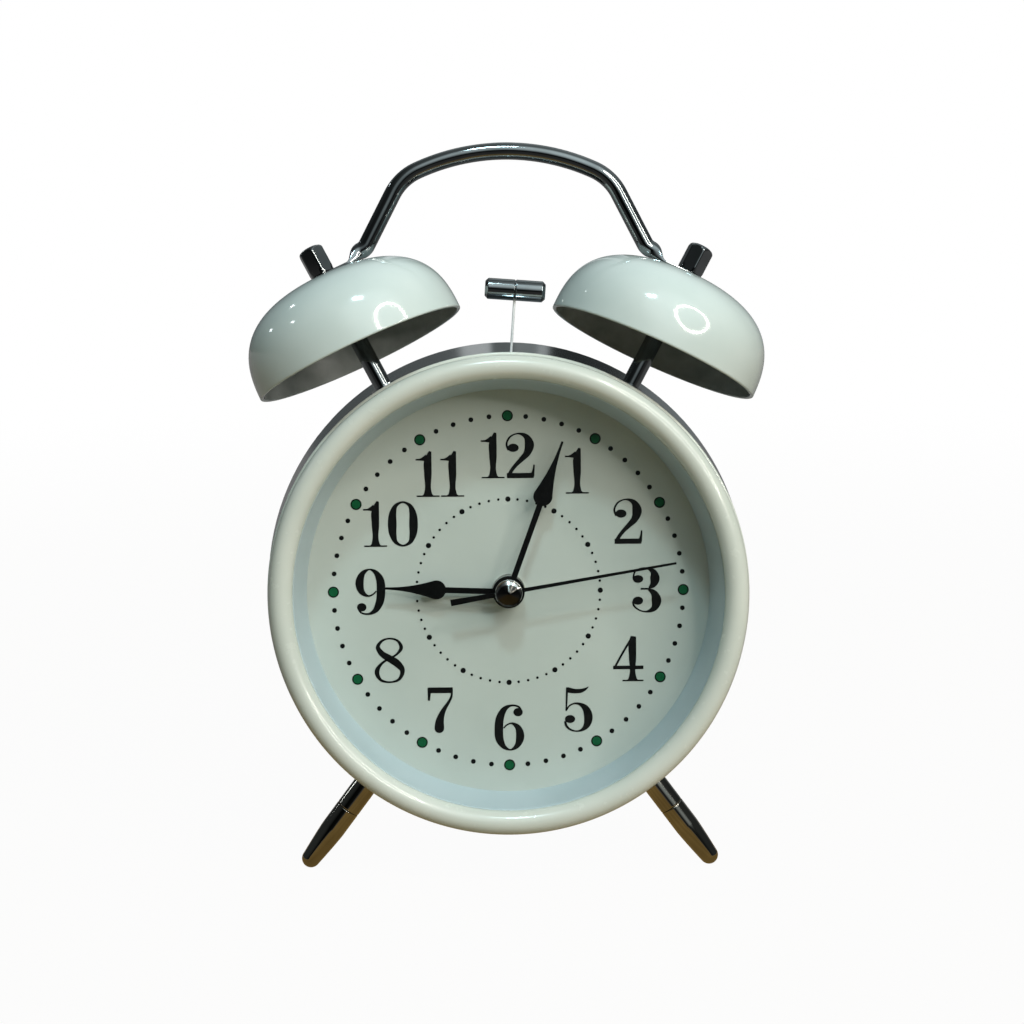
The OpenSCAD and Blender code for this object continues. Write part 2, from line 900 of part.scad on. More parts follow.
module battery_contacts() {
    blade = [0.7, 0.78] * cell_d;
    color(steel) stand()
        for (side = [-1, 1])
            translate([side * (tray_w - contact_t) / 2, cell_y, -cell_down])
                cube([contact_t, blade[0], blade[1]], center = true);
}

// Motor with flattened sides, a front boss for its shaft and a rear bush
module striker_motor() {
    color(steel) stand() at([0, motor_z]) difference() {
        union() {
            plate(motor_y, motor_len)
                intersection() {
                    circle(d = motor_w);
                    square([motor_w, motor_h], center = true);
                }
            rod(bracket_y + run, motor_y + 1, motor_boss_r);
            rod(motor_end - 1, motor_end + rear_room / 2, motor_boss_r);
        }
        rod(bracket_y - 1, motor_y + 4, shaft_r + run);
    }
}

// Cradle on the movement that holds the motor, with a front wall for the hammer's pivot
module motor_bracket() {
    half = motor_w / 2 + run;
    cheek_t = 1.4;
    cheek_h = motor_h * 0.6;
    pin_boss = 4;
    color(plastic) stand() difference() {
        union() {
            plate(bracket_y, bracket_t)
                polygon([
                    [-half - cheek_t, movement_up], [half + cheek_t, movement_up],
                    [half + cheek_t, movement_up + cheek_h], [pin_boss, pivot_z + pin_boss],
                    [-pin_boss, pivot_z + pin_boss], [-half - cheek_t, movement_up + cheek_h]
                ]);
            translate([-half - cheek_t, bracket_y, movement_up])
                cube([2 * (half + cheek_t), movement_end - bracket_y, bracket_base]);
            for (x = [-half - cheek_t, half])
                translate([x, bracket_y, movement_up])
                    cube([cheek_t, movement_end - bracket_y, cheek_h]);
        }
        at([0, motor_z])
            rod(bracket_y - 1, motor_y + 1, motor_boss_r + run);
        at([0, pivot_z])
            rod(bracket_y - 1, motor_y + 1, pivot_d / 2 + run / 2);
    }
}

module hammer_pivot_pin() {
    head_t = 0.7;
    color(steel) stand() at([0, pivot_z]) {
        rod(lever_y - free - head_t, lever_y - free, pivot_d / 2 + 0.8);
        rod(lever_y - free, motor_y, pivot_d / 2);
    }
}

// Outline of a hand, pointing up: hub, stem, bulb and a tip drawn in to a point
module spade_outline(length, bulb_at, bore_r) {
    stem_w = 1.3;
    tip_w = 0.5;
    bulb_r = bulb_d / 2;
    from = [bulb_r * 0.92, bulb_at + bulb_r * 0.4];
    tip = [
        for (u = [0 : 0.125 : 1])
            [tip_w / 2 + (from[0] - tip_w / 2) * pow(1 - u, 2), from[1] + (length - from[1]) * u]
    ];
    difference() {
        union() {
            circle(d = hub_d);
            translate([-stem_w / 2, 0])
                square([stem_w, bulb_at]);
            translate([0, bulb_at])
                circle(d = bulb_d);
            polygon(concat(tip, [for (i = [len(tip) - 1 : -1 : 0]) [-tip[i][0], tip[i][1]]]));
        }
        circle(bore_r);
    }
}

module hour_hand() {
    color(black) stand()
        plate(hour_hand_y, hand_t)
            rotate(-hour_at)
                spade_outline(hour_len, hour_len - hour_point, hour_pipe_r + run / 4);
}

module minute_hand() {
    color(black) stand()
        plate(minute_hand_y, hand_t)
            rotate(-minute_at)
                spade_outline(minute_len, minute_len - minute_point, minute_pipe_r + run / 4);
}

module second_hand() {
    tip_w = 0.5;
    tail_w = 1.45;
    color(black) stand()
        plate(second_hand_y, hand_t)
            rotate(-second_at)
                difference() {
                    union() {
                        polygon([
                            [-tail_w / 2, -tail_len], [tail_w / 2, -tail_len], [0.45, 0],
                            [tip_w / 2, second_len], [-tip_w / 2, second_len], [-0.45, 0]
                        ]);
                        circle(d = cap_d - 1);
                    }
                    circle(arbor_r + run / 4);
                }
}

// Turned cap over the end of the second hand's arbor
module hand_cap() {
    cap_y = second_hand_y - cap_rise;
    color(plating) stand() difference() {
        spun()
            polygon([
                [0, cap_y], [1.2, cap_y], [1.7, cap_y + 0.3], [cap_d / 2 - 0.3, second_hand_y - 0.9],
                [cap_d / 2, second_hand_y - 0.5], [cap_d / 2, second_hand_y], [0, second_hand_y]
            ]);
        rod(second_hand_y - 1.6, second_hand_y + 1, arbor_r + run / 4);
    }
}

module second_wheel() {
    color(brass) stand() {
        rod(second_hand_y - 1.4, second_wheel_y + wheel_t + free + 2.6, arbor_r);
        plate(second_wheel_y, wheel_t * 0.8)
            difference() {
                toothed(second_teeth, second_m, 0);
                for (i = [0 : 3])
                    rotate(90 * i)
                        translate([4, 0])
                            circle(r = 1.6);
            }
    }
}

// Pipe of the minute hand, with the pinion that drives the setting wheel
module cannon_pinion() {
    color(brass) stand() difference() {
        union() {
            rod(minute_hand_y - pipe_lead, minute_wheel_y + 2 * wheel_t, minute_pipe_r);
            plate(minute_wheel_y, 2 * wheel_t)
                toothed(pinion_teeth, tooth_m, time_at);
        }
        rod(0, movement_end, arbor_r + run);
    }
}

module hour_wheel() {
    color(plastic) stand() difference() {
        union() {
            rod(hour_hand_y - pipe_lead, hour_wheel_y + wheel_t, hour_pipe_r);
            plate(hour_wheel_y, wheel_t)
                toothed(hour_teeth, hour_m, time_at);
        }
        rod(0, movement_end, minute_pipe_r + run);
    }
}

module alarm_wheel() {
    color(plastic) stand() difference() {
        union() {
            rod(alarm_hand_y - pipe_lead, alarm_wheel_y + wheel_t, alarm_pipe_r);
            plate(alarm_wheel_y, wheel_t)
                toothed(wheel_teeth, tooth_m, alarm_at);
        }
        rod(0, movement_end, hour_pipe_r + run);
    }
}

module alarm_hand() {
    color(black) stand()
        plate(alarm_hand_y, hand_t)
            rotate(-hour_at)
                difference() {
                    union() {
                        circle(d = hub_d - 0.4);
                        polygon([[-0.6, 0], [0.6, 0], [0.2, alarm_len], [-0.2, alarm_len]]);
                    }
                    circle(alarm_pipe_r + run / 4);
                }
}

// Arbor shared by both setting stems: front journal, slim part between the wheels, stout rear part
module stem_shaft() {
    slim_end = minute_wheel_y + 2 * wheel_t;
    rod(movement_y + 2 * free, alarm_wheel_y, journal_r);
    rod(alarm_wheel_y, slim_end, journal_r + 0.3);
    rod(slim_end, knob_y + knob_h - 1.8, stem_d / 2);
}

// Stem of the time knob with the setting wheel and the pinion that turns the hour wheel
module setting_stem() {
    color(brass) stand() at(time_stem) {
        stem_shaft();
        plate(minute_wheel_y + free, wheel_t)
            toothed(wheel_teeth, tooth_m, time_at + 180 + 180 / wheel_teeth);
        plate(hour_wheel_y - free / 2, wheel_t + free)
            toothed(hour_pinion_teeth, hour_m, time_at + 180 + 180 / hour_pinion_teeth);
    }
}

// Stem of the alarm knob with the pinion that turns the alarm wheel
module alarm_stem() {
    color(brass) stand() at(alarm_stem_at) {
        stem_shaft();
        plate(alarm_wheel_y, wheel_t + free / 2)
            toothed(pinion_teeth, tooth_m, alarm_at + 180 + 180 / pinion_teeth);
    }
}

// A knob with a fluted edge and a dished end, pressed on its stem
module knob() {
    flutes = 24;
    flute_r = knob_d * 0.045;
    dish = 1;
    color(black) difference() {
        rod(knob_y, knob_y + knob_h, knob_d / 2);
        for (i = [0 : flutes - 1])
            rotate([0, 360 / flutes * i, 0])
                translate([knob_d / 2 + flute_r / 2, 0, 0])
                    rod(knob_y + 1.2, knob_y + knob_h + 1, flute_r);
        rod(knob_y + knob_h - dish, knob_y + knob_h + 1, knob_d / 2 - 2);
        rod(knob_y - 1, knob_y + knob_h - 1.6, stem_d / 2 + run / 4);
    }
}

module time_knob() {
    stand() at(time_stem)
        knob();
}

module alarm_knob() {
    stand() at(alarm_stem_at)
        knob();
}

module back_cover() {
    edge = drum_wall + fit;
    stem_hole_r = stem_d / 2 + 0.8;
    tray_rim = tray_wall + door_lap;
    color(black) stand() difference() {
        union() {
            spun()
                polygon([
                    [0, cover_y], [drum_r(cover_y) - edge, cover_y],
                    [drum_r(cover_back) - edge, cover_back], [0, cover_back]
                ]);
            translate([-tray_w / 2 - tray_rim, cover_y - door_t, -cell_down - tray_h / 2 - tray_rim])
                cube([tray_w + 2 * tray_rim, door_t + 0.1, tray_h + 2 * tray_rim]);
            translate([-tray_w / 2 - tray_wall, tray_front - tray_wall, -cell_down - tray_h / 2 - tray_wall])
                cube([tray_w + 2 * tray_wall, cover_y - tray_front + tray_wall, tray_h + 2 * tray_wall]);
        }
        translate([-tray_w / 2, tray_front, -cell_down - tray_h / 2])
            cube([tray_w, cover_back, tray_h]);
        plate(cover_back - door_t, door_t + 1)
            door_outline(0);
        for (p = [time_stem, alarm_stem_at])
            at(p)
                rod(cover_y - 1, cover_back + 1, stem_hole_r);
        for (angle = screw_angles)
            rotate([0, -angle, 0])
                translate([screw_ring, 0, 0])
                    rod(cover_y - 1, cover_back + 1, screw_r + fit);
        translate([switch_at[0] - switch_travel / 2 - free, 0, switch_at[1]])
            plate(cover_y - 1, cover_t + 2)
                translate([-switch_neck[0] / 2, -switch_neck[1] / 2 - free])
                    square([switch_neck[0] + switch_travel + 2 * free, switch_neck[1] + 2 * free]);
    }
}

module cover_screws() {
    head_h = 1.3;
    color(steel) stand()
        for (angle = screw_angles)
            rotate([0, -angle, 0])
                translate([screw_ring, 0, 0])
                    difference() {
                        union() {
                            rod(cover_y - lug_len + 1, cover_back, screw_r);
                            rod(cover_back, cover_back + head_h, 2 * screw_r);
                        }
                        for (turn = [0, 90])
                            translate([0, cover_back + head_h, 0])
                                rotate([0, turn, 0])
                                    cube([2.6, 1.2, 0.6], center = true);
                    }
}

// Outline of the battery door across the clock
module door_outline(gap) {
    size = [tray_w + 2 * door_lap - 2 * gap, tray_h + 2 * door_lap - 2 * gap];
    translate([0, -cell_down])
        square(size, center = true);
}

module battery_door() {
    grips = 4;
    color(black) stand() {
        plate(cover_back - door_t, door_t)
            door_outline(fit);
        for (i = [0 : grips - 1])
            translate([0, 0, -cell_down + (i - (grips - 1) / 2) * 2])
                plate(cover_back, 0.5)
                    square([12, 0.8], center = true);
    }
}

// Slide with a ribbed thumb piece outside the cover and a keeper inside it
module alarm_switch() {
    thumb = [6, 5];
    keeper = [8, 5];
    thumb_h = 2.2;
    color(plastic) stand()
        translate([switch_at[0] - switch_travel / 2, 0, switch_at[1]]) {
            plate(cover_y - free - 1, 1)
                square(keeper, center = true);
            plate(cover_y - free - 0.5, cover_t + 2 * free + 1)
                square(switch_neck, center = true);
            plate(cover_back + free, thumb_h)
                difference() {
                    square(thumb, center = true);
                    for (x = [-1.5, 0, 1.5])
                        translate([x, thumb[1] / 2])
                            circle(r = 0.4);
                }
        }
}

module hammer_head() {
    edge = 0.7;
    seam = 0.25;
    r = head_d / 2;
    half = head_len / 2;
    color(plating) stand() translate([0, crown_y, 0]) at_pivot() difference() {
        translate([0, 0, arm_len])
            rotate([0, 90, 0])
                rotate_extrude()
                    polygon([
                        [0, -half], [r - edge, -half], [r, edge - half], [r, -seam], [r - seam, 0], [r, seam],
                        [r, half - edge], [r - edge, half], [0, half]
                    ]);
        cylinder(h = arm_len + 0.2, d = wire_d + run);
    }
}

module hammer_wire() {
    color(steel) stand() translate([0, crown_y, 0]) at_pivot()
        translate([0, 0, pivot_d / 2 + 2])
            cylinder(h = arm_len - pivot_d / 2 - 2, d = wire_d);
}

// Lever with the wire's socket above the pivot and a fork below it around the crank's pin
module hammer_lever() {
    boss_r = pivot_d / 2 + 1.6;
    arm_w = 2.6;
    tine_w = 1.4;
    bridge_h = 2;
    fork_top = crank_drop - crank_throw - crank_pin_r - 2.6;
    tine_len = 2 * crank_throw + 2 * crank_pin_r + 4;
    color(plastic) stand() at_pivot() difference() {
        union() {
            plate(lever_y, lever_t) {
                circle(boss_r);
                translate([-arm_w / 2, 0])
                    square([arm_w, boss_r + 4]);
                translate([-arm_w / 2, -fork_top])
                    square([arm_w, fork_top]);
                translate([-fork_half - tine_w, -fork_top - bridge_h / 2])
                    square([2 * (fork_half + tine_w), bridge_h]);
                for (x = [-fork_half - tine_w, fork_half])
                    translate([x, -fork_top - tine_len])
                        square([tine_w, tine_len]);
            }
            rod(lever_y, bracket_y - free, boss_r);
        }
        rod(lever_y - 1, bracket_y + 1, pivot_d / 2 + run);
        translate([0, crown_y, pivot_d / 2 + 1.8])
            cylinder(h = 20, d = wire_d + run);
    }
}

// Crank on the motor's shaft, with the pin that swings the lever
module motor_crank() {
    disc_r = crank_throw + crank_pin_r + 0.8;
    color(brass) stand() at([0, motor_z]) {
        rod(crank_y, crank_y + crank_t, disc_r);
        rod(crank_y, motor_y + 3.6, shaft_r);
        at([0, crank_throw])
            rod(lever_y - free, crank_y, crank_pin_r);
    }
}

case_drum();
bezel();
glass();
dial_ring();
dial();
back_cover();
cover_screws();
left_post();
right_post();
post_nuts();
left_bell();
right_bell();
left_cap_nut();
right_cap_nut();
handle();
left_leg_collar();
right_leg_collar();
left_foot();
right_foot();
leg_screws();
movement_plate();
movement_cover();
stepper_coil();
circuit_board();
battery_cell();
battery_contacts();
striker_motor();
motor_bracket();
hammer_pivot_pin();
second_hand();
hand_cap();
second_wheel();
minute_hand();
cannon_pinion();
hour_hand();
hour_wheel();
alarm_hand();
alarm_wheel();
setting_stem();
time_knob();
alarm_stem();
alarm_knob();
alarm_switch();
battery_door();
hammer_head();
hammer_wire();
hammer_lever();
motor_crank();
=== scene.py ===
import json
import math

import bmesh
import bpy
import numpy as np
from mathutils import Matrix


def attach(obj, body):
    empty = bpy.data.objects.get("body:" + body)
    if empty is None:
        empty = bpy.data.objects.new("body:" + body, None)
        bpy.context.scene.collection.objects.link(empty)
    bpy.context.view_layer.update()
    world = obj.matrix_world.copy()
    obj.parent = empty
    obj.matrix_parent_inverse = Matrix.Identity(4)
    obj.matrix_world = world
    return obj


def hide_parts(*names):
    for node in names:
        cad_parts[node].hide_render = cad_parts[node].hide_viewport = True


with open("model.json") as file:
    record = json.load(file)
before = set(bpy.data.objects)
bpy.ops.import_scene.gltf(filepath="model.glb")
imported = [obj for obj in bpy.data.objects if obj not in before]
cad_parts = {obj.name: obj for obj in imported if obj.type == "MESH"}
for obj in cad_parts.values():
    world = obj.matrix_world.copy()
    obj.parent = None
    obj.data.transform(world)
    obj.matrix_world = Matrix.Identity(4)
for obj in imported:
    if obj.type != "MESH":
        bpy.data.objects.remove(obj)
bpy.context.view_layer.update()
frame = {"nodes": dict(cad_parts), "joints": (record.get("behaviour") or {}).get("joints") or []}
nodes = frame["nodes"]
joints = {j["name"]: j for j in frame["joints"]}
mm = 0.001

# The clock leans back, so its pieces are worked out in its own axes, in millimetres:
# x across, y back from the front of the bezel along the dial's axis, z up the dial.
backAxis = np.array(joints["minute_spin"]["axis"])
upAxis = np.array([0.0, -backAxis[2], backAxis[1]])
ownAxes = np.stack([[1.0, 0.0, 0.0], backAxis, upAxis])
hub = np.array(joints["minute_spin"]["pos_m"])
across, back, up = np.eye(3)


def solidPoints(node):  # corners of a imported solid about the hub, in the clock's axes and millimetres
    mesh = nodes[node].data
    co = np.empty(len(mesh.vertices) * 3, np.float32)
    mesh.vertices.foreach_get("co", co)
    return (co.reshape(-1, 3) - hub) @ ownAxes.T / mm


frontDepth = solidPoints("bezel")[:, 1].min()


def clockPoints(node):  # the same, with depth counted from the front of the bezel
    return solidPoints(node) - frontDepth * back


def clockPlace(pos):  # a joint's place in the clock's axes
    return (np.array(pos) - hub) @ ownAxes.T / mm - frontDepth * back


def stand(points):  # the clock's axes and millimetres to the frame's metres
    return hub + ((points + frontDepth * back) * mm) @ ownAxes


def middle(node):
    p = clockPoints(node)
    return (p.min(0) + p.max(0)) / 2


def reach(node, origin, axis):  # least and most height along an axis, and most radius about it
    q = clockPoints(node) - origin
    h = q @ axis
    return h.min(), h.max(), np.linalg.norm(q - np.outer(h, axis), axis=1).max()


def tilted(degrees, side=1):  # unit vector in the clock's upright plane, from straight up towards one side
    a = math.radians(degrees)
    return np.array([side * math.sin(a), 0.0, math.cos(a)])


print("frame loaded:", len(nodes), "solids")


# Materials

def linear(code):  # sRGB hex to linear, by the sRGB curve
    c = np.array([int(code[i:i + 2], 16) / 255 for i in (1, 3, 5)])
    c = np.where(c <= 0.04045, c / 12.92, ((c + 0.055) / 1.055) ** 2.4)
    return (*c, 1.0)


def grey(v):
    return (v, v, v, 1.0)


def perMetre(sizeMm):  # texture scale for a feature of that size
    return 1.0 / (sizeMm * mm)


def plug(tree, node, inputs):  # an input is a value, or a socket or node to link
    for key, value in inputs.items() if isinstance(inputs, dict) else enumerate(inputs):
        source = value.outputs[0] if isinstance(value, bpy.types.Node) else value
        if isinstance(source, bpy.types.NodeSocket):
            tree.links.new(source, node.inputs[key])
        else:
            node.inputs[key].default_value = source


def add(tree, kind, inputs=(), stops=(), **settings):  # a node set up; stops fill a colour ramp
    made = tree.nodes.new("ShaderNode" + kind)
    for key, value in settings.items():
        setattr(made, key, value)
    plug(tree, made, inputs)
    if stops:
        bar = made.color_ramp.elements
        while len(bar) < len(stops):
            bar.new(0.5)
        for element, (place, colour) in zip(bar, stops):
            element.position = place
            element.color = colour
    return made


def started(name, surface):  # a material with its main shader set, and the frame's coordinates in metres
    mat = bpy.data.materials.new(name)
    mat.use_nodes = True
    tree = mat.node_tree
    shader = tree.nodes["Principled BSDF"]
    plug(tree, shader, surface)
    return mat, tree, shader, add(tree, "TexCoord").outputs["Object"]


def patterned(name, surface, cloud, gloss, grain):
    # colour, gloss and height each drift with a noise of its own size in millimetres
    mat, tree, shader, coords = started(name, surface)
    noises = []
    for pattern in (cloud, gloss, grain):
        own = add(tree, "Mapping", {"Vector": coords, "Rotation": (pattern.get("turn", 0.0), 0, 0)})
        spread = add(tree, "Mapping", {"Vector": own, "Scale": pattern.get("stretch", (1, 1, 1))})
        noises.append(add(tree, "TexNoise", {"Vector": spread, "Scale": perMetre(pattern["size"]),
                                             "Detail": pattern.get("detail", 3.0)}))
    colours = list(zip(cloud.get("ends", (0.3, 0.7)), map(linear, cloud["colours"])))
    levels = list(zip(gloss.get("ends", (0.3, 0.7)), map(grey, gloss["rough"])))
    colour = add(tree, "ValToRGB", [noises[0]], colours)
    rough = add(tree, "ValToRGB", [noises[1]], levels)
    bump = add(tree, "Bump", {"Height": noises[2], "Distance": grain["depth"] * mm,
                              "Strength": grain["strength"]})
    plug(tree, shader, {"Base Color": colour, "Roughness": rough, "Normal": bump})
    return mat


leanAngle = math.atan2(-backAxis[2], backAxis[1])

# White stoving enamel on pressed steel: wet gloss with a faint orange peel and a cool cast
enamel = patterned(
    "stoved_enamel", {"IOR": 1.52, "Coat Weight": 0.6, "Coat Roughness": 0.03},
    cloud=dict(size=14, colours=("#d2deda", "#dae4e0")),
    gloss=dict(size=3, rough=(0.08, 0.13), ends=(0.3, 0.75)),
    grain=dict(size=1.6, detail=2.0, depth=0.01, strength=0.12))

# Thin grey lacquer inside the bells, dusty and uneven over the pressed steel
lining = patterned(
    "bell_lining_lacquer", {"IOR": 1.5},
    cloud=dict(size=5, detail=5.0, colours=("#989e9c", "#b4b9b7")),
    gloss=dict(size=5, detail=5.0, rough=(0.28, 0.5), ends=(0.35, 0.7)),
    grain=dict(size=0.8, depth=0.03, strength=0.3))

# Gloss white moulding: softer shine than the bells, a little warmer, with fine handling marks
bezelPaint = patterned(
    "gloss_white_moulding", {"IOR": 1.5, "Coat Weight": 0.3, "Coat Roughness": 0.05},
    cloud=dict(size=18, colours=("#d3d8ce", "#dcdfd5")),
    gloss=dict(size=2.2, detail=5.0, rough=(0.2, 0.3), ends=(0.35, 0.75)),
    grain=dict(size=1.2, depth=0.008, strength=0.12))

# Plated sheet steel, polished round the drum: fine rings along the circumference
polishing = dict(size=0.25, detail=4.0, stretch=(0.02, 1, 0.02), turn=leanAngle)
steelSheet = patterned(
    "polished_sheet_steel", {"Metallic": 1.0},
    cloud=dict(size=9, colours=("#a1a6a8", "#a9aeb0")),
    gloss=dict(polishing, rough=(0.08, 0.16)),
    grain=dict(polishing, depth=0.004, strength=0.06))

# Pale satin polystyrene of the recess wall: faintly blue and a little cloudy
wall = patterned(
    "satin_polystyrene", {"IOR": 1.55},
    cloud=dict(size=12, detail=4.0, colours=("#bccacf", "#c8d4d9")),
    gloss=dict(size=12, detail=4.0, rough=(0.32, 0.45)),
    grain=dict(size=0.6, depth=0.01, strength=0.15))

# Matt white printed card: a very fine tooth and a slight cloudiness
card = patterned(
    "printed_card", {"IOR": 1.45},
    cloud=dict(size=22, detail=4.0, colours=("#c7ccc4", "#cfd3cb")),
    gloss=dict(size=2, rough=(0.5, 0.62)),
    grain=dict(size=0.35, depth=0.01, strength=0.15))

# Drawn steel wire in a pale, dull, non-metal white that stands in for the steel's bright sheen: a painted
# sheen, with hardly any texture
wirePaintedSheen = patterned(
    "steel_wire_painted_sheen", {"IOR": 1.5},
    cloud=dict(size=9, colours=("#e2e4e4", "#f0f1f1")),
    gloss=dict(size=0.3, rough=(0.3, 0.44)),
    grain=dict(size=0.3, depth=0.01, strength=0.35))


def blackNickel(name, dark, light):
    # Black nickel plating: a dark mirror that shows lamps as hard streaks, very slightly uneven
    return patterned(name, {"Metallic": 1.0}, cloud=dict(size=6, colours=(dark, light)),
                     gloss=dict(size=5, detail=2.0, rough=(0.05, 0.08)),
                     grain=dict(size=6, detail=0.0, depth=0.004, strength=0.02))


def ink(name, dark, light, rough):
    # Screen-printed ink or paint: dense, slightly mottled where it lies thin
    mottle = dict(size=0.5, detail=4.0)
    return patterned(name, {"IOR": 1.5, "Specular IOR Level": 0.15},
                     cloud=dict(mottle, colours=(dark, light), ends=(0.35, 0.75)),
                     gloss=dict(mottle, rough=(rough, rough + 0.15)),
                     grain=dict(mottle, depth=0.01, strength=0.2))


def moulded(name, dark, light, rough, grainMm=0.35):
    # Moulded plastic with a fine spark-eroded texture
    return patterned(name, {"IOR": 1.5}, cloud=dict(size=9, colours=(dark, light)),
                     gloss=dict(size=grainMm, rough=(rough, rough + 0.14)),
                     grain=dict(size=grainMm, depth=0.03, strength=0.35))


def cutMetal(name, dark, light, rough, grainMm=0.5):
    # Plated or cut metal of small works: fine tool marks and a little tarnish
    marks = dict(size=grainMm, detail=4.0, stretch=(1, 0.25, 1))
    return patterned(name, {"Metallic": 1.0}, cloud=dict(size=2.5, detail=4.0, colours=(dark, light)),
                     gloss=dict(marks, rough=(rough, rough + 0.18)),
                     grain=dict(marks, depth=0.01, strength=0.2))


def turnedChrome(radius, ringPitch, paintedShadeTo, paintedHighlightFrom):
    # Chromed cap turned on a lathe: a dark cone and a pale rim painted into its colour, as the shade of the
    # dark room it mirrors and a highlight on the rim bead; rings draw each lamp into a streak
    mat, tree, shader, coords = started("turned_chrome_painted_rim_highlight", {"Metallic": 1.0})
    own = add(tree, "Mapping", {"Vector": coords, "Location": (-hub).tolist()})
    own = add(tree, "Mapping", {"Vector": own, "Rotation": (leanAngle, 0, 0), "Scale": (1, 0, 1)})
    out = add(tree, "VectorMath", [own], operation="LENGTH").outputs["Value"]
    rings = add(tree, "Math", [out, 2 * math.pi * perMetre(ringPitch)], operation="MULTIPLY")
    rings = add(tree, "Math", [rings], operation="SINE")
    share = add(tree, "Math", [out, perMetre(radius)], operation="MULTIPLY")
    # Colour by share of the radius: painted shade over the cone, a painted highlight on the rim bead
    colour = add(tree, "ValToRGB", [share],
                 [(0.0, linear("#3c3a38")), (paintedShadeTo, linear("#474542")), (paintedHighlightFrom, linear("#d8d6d2")),
                  (1.0, linear("#d8d6d2"))])
    cloud = add(tree, "TexNoise", {"Vector": coords, "Scale": perMetre(1.5), "Detail": 3.0})
    rough = add(tree, "ValToRGB", [cloud], [(0.3, grey(0.06)), (0.7, grey(0.12))])
    bump = add(tree, "Bump", {"Height": rings, "Distance": 0.006 * mm, "Strength": 0.08})
    plug(tree, shader, {"Base Color": colour, "Roughness": rough, "Normal": bump})
    return mat


def windowGlass():
    # Flat float glass: clear with a weak mirror; the room's light passes straight through to the dial
    mat, tree, shader, coords = started("float_glass", {"IOR": 1.45, "Transmission Weight": 1.0,
                                                        "Base Color": (0.97, 0.985, 0.985, 1)})
    smear = add(tree, "TexNoise", {"Vector": coords, "Scale": perMetre(16), "Detail": 4.0})
    rough = add(tree, "ValToRGB", [smear], [(0.45, grey(0.0)), (0.9, grey(0.03))])
    plug(tree, shader, {"Roughness": rough})
    path = add(tree, "LightPath").outputs
    looked = add(tree, "Math", [path["Is Camera Ray"], path["Is Transmission Ray"]], operation="MAXIMUM")
    clear = add(tree, "BsdfTransparent", {"Color": (0.96, 0.98, 0.98, 1)})
    mix = add(tree, "MixShader", [looked, clear, shader])
    plug(tree, tree.nodes["Material Output"], {"Surface": mix})
    return mat


glass = windowGlass()
nickel = blackNickel("black_nickel", "#7c8081", "#8f9394")
# The legs' plating is lighter and warmer than the other black nickel: a painted warm reflection of the
# surface under them
legNickelPaintedReflection = blackNickel("black_nickel_legs_painted_reflection", "#94918a", "#a8a59d")
blackInk = ink("black_ink", "#060707", "#0d0e0e", 0.4)
greenInk = ink("green_ink", "#0a5230", "#12683f", 0.35)
handPaint = ink("black_hand_paint", "#040404", "#0a0a0a", 0.3)
blackAbs = moulded("black_abs", "#242425", "#2d2d2e", 0.36)  # a soft dark sheen
whiteAbs = moulded("white_abs", "#d9d9d2", "#e4e4de", 0.34)  # a silky off-white
boardMask = moulded("board_solder_mask", "#12452a", "#1b5a37", 0.3, 0.8)  # deep green, slightly glossy
zinc = cutMetal("zinc_plated_steel", "#8d9092", "#b3b6b8", 0.22)  # dull silver
brass = cutMetal("cut_brass", "#9a7a33", "#c9a85a", 0.2)  # yellow, freshly cut
copper = cutMetal("lacquered_copper_wire", "#7d3f1e", "#b4683a", 0.3, 0.3)  # reddish under its lacquer
cellJacket = cutMetal("printed_cell_jacket", "#26385f", "#33477a", 0.25)  # dark blue foil
print("materials:", len(bpy.data.materials))


# Surfaces

def gridFaces(nu, nv, closeU=False, closeV=False):
    # quads of a grid row by row; a closed direction joins its last line to its first
    u = np.arange(nu if closeU else nu - 1)
    v = np.arange(nv if closeV else nv - 1)
    a, b = np.meshgrid(u, v, indexing="ij")
    c, d = (a + 1) % nu, (b + 1) % nv
    return np.stack([a * nv + b, c * nv + b, c * nv + d, a * nv + d], -1).reshape(-1, 4)


def tubeFaces(rows, around, closed=False):  # a grid closed round; both its ends are filled unless they meet
    last = (rows - 1) * around
    ends = [list(range(around)), list(range(last + around - 1, last - 1, -1))]
    return gridFaces(rows, around, closed, True).tolist() + ([] if closed else ends)


def fullTurn(steps):
    return np.linspace(0, 2 * np.pi, steps, endpoint=False)


def spoke(a):  # unit vectors at angles from straight up, turning to the right
    return np.stack([np.sin(a), np.cos(a)], -1)


def joined(parts):  # several (points, faces) as one
    points, faces, first = [], [], 0
    for p, f in parts:
        points.append(p)
        faces += [[i + first for i in face] for face in f]
        first += len(p)
    return np.concatenate(points), faces


def filleted(corners, steps=6, closed=True):
    # corners of (x, y, radius): each corner is cut by the arc of that radius that touches both its edges
    xy, radii = np.array(corners, float)[:, :2], np.array(corners, float)[:, 2]
    out = []
    for i, (p, r) in enumerate(zip(xy, radii)):
        if r <= 0 or (not closed and i in (0, len(xy) - 1)):
            out.append(p[None])
            continue
        a, b = xy[i - 1] - p, xy[(i + 1) % len(xy)] - p
        la, lb = np.linalg.norm(a), np.linalg.norm(b)
        a, b = a / la, b / lb
        half = math.acos(np.clip(a @ b, -1, 1)) / 2
        t = min(r / math.tan(half), 0.49 * la, 0.49 * lb)
        centre = p + (a + b) / np.linalg.norm(a + b) * t / math.cos(half)
        s, e = p + a * t - centre, p + b * t - centre
        turn = math.atan2(s[0] * e[1] - s[1] * e[0], s @ e) * np.linspace(0, 1, steps)
        out.append(centre + np.stack([s[0] * np.cos(turn) - s[1] * np.sin(turn),
                                      s[0] * np.sin(turn) + s[1] * np.cos(turn)], 1))
    return np.concatenate(out)


def evenly(points, count):  # a line's points spread at equal steps along it
    run = np.concatenate([[0], np.cumsum(np.linalg.norm(np.diff(points, axis=0), axis=1))])
    at = np.linspace(0, run[-1], count)
    return np.stack([np.interp(at, run, points[:, k]) for k in range(points.shape[1])], 1)


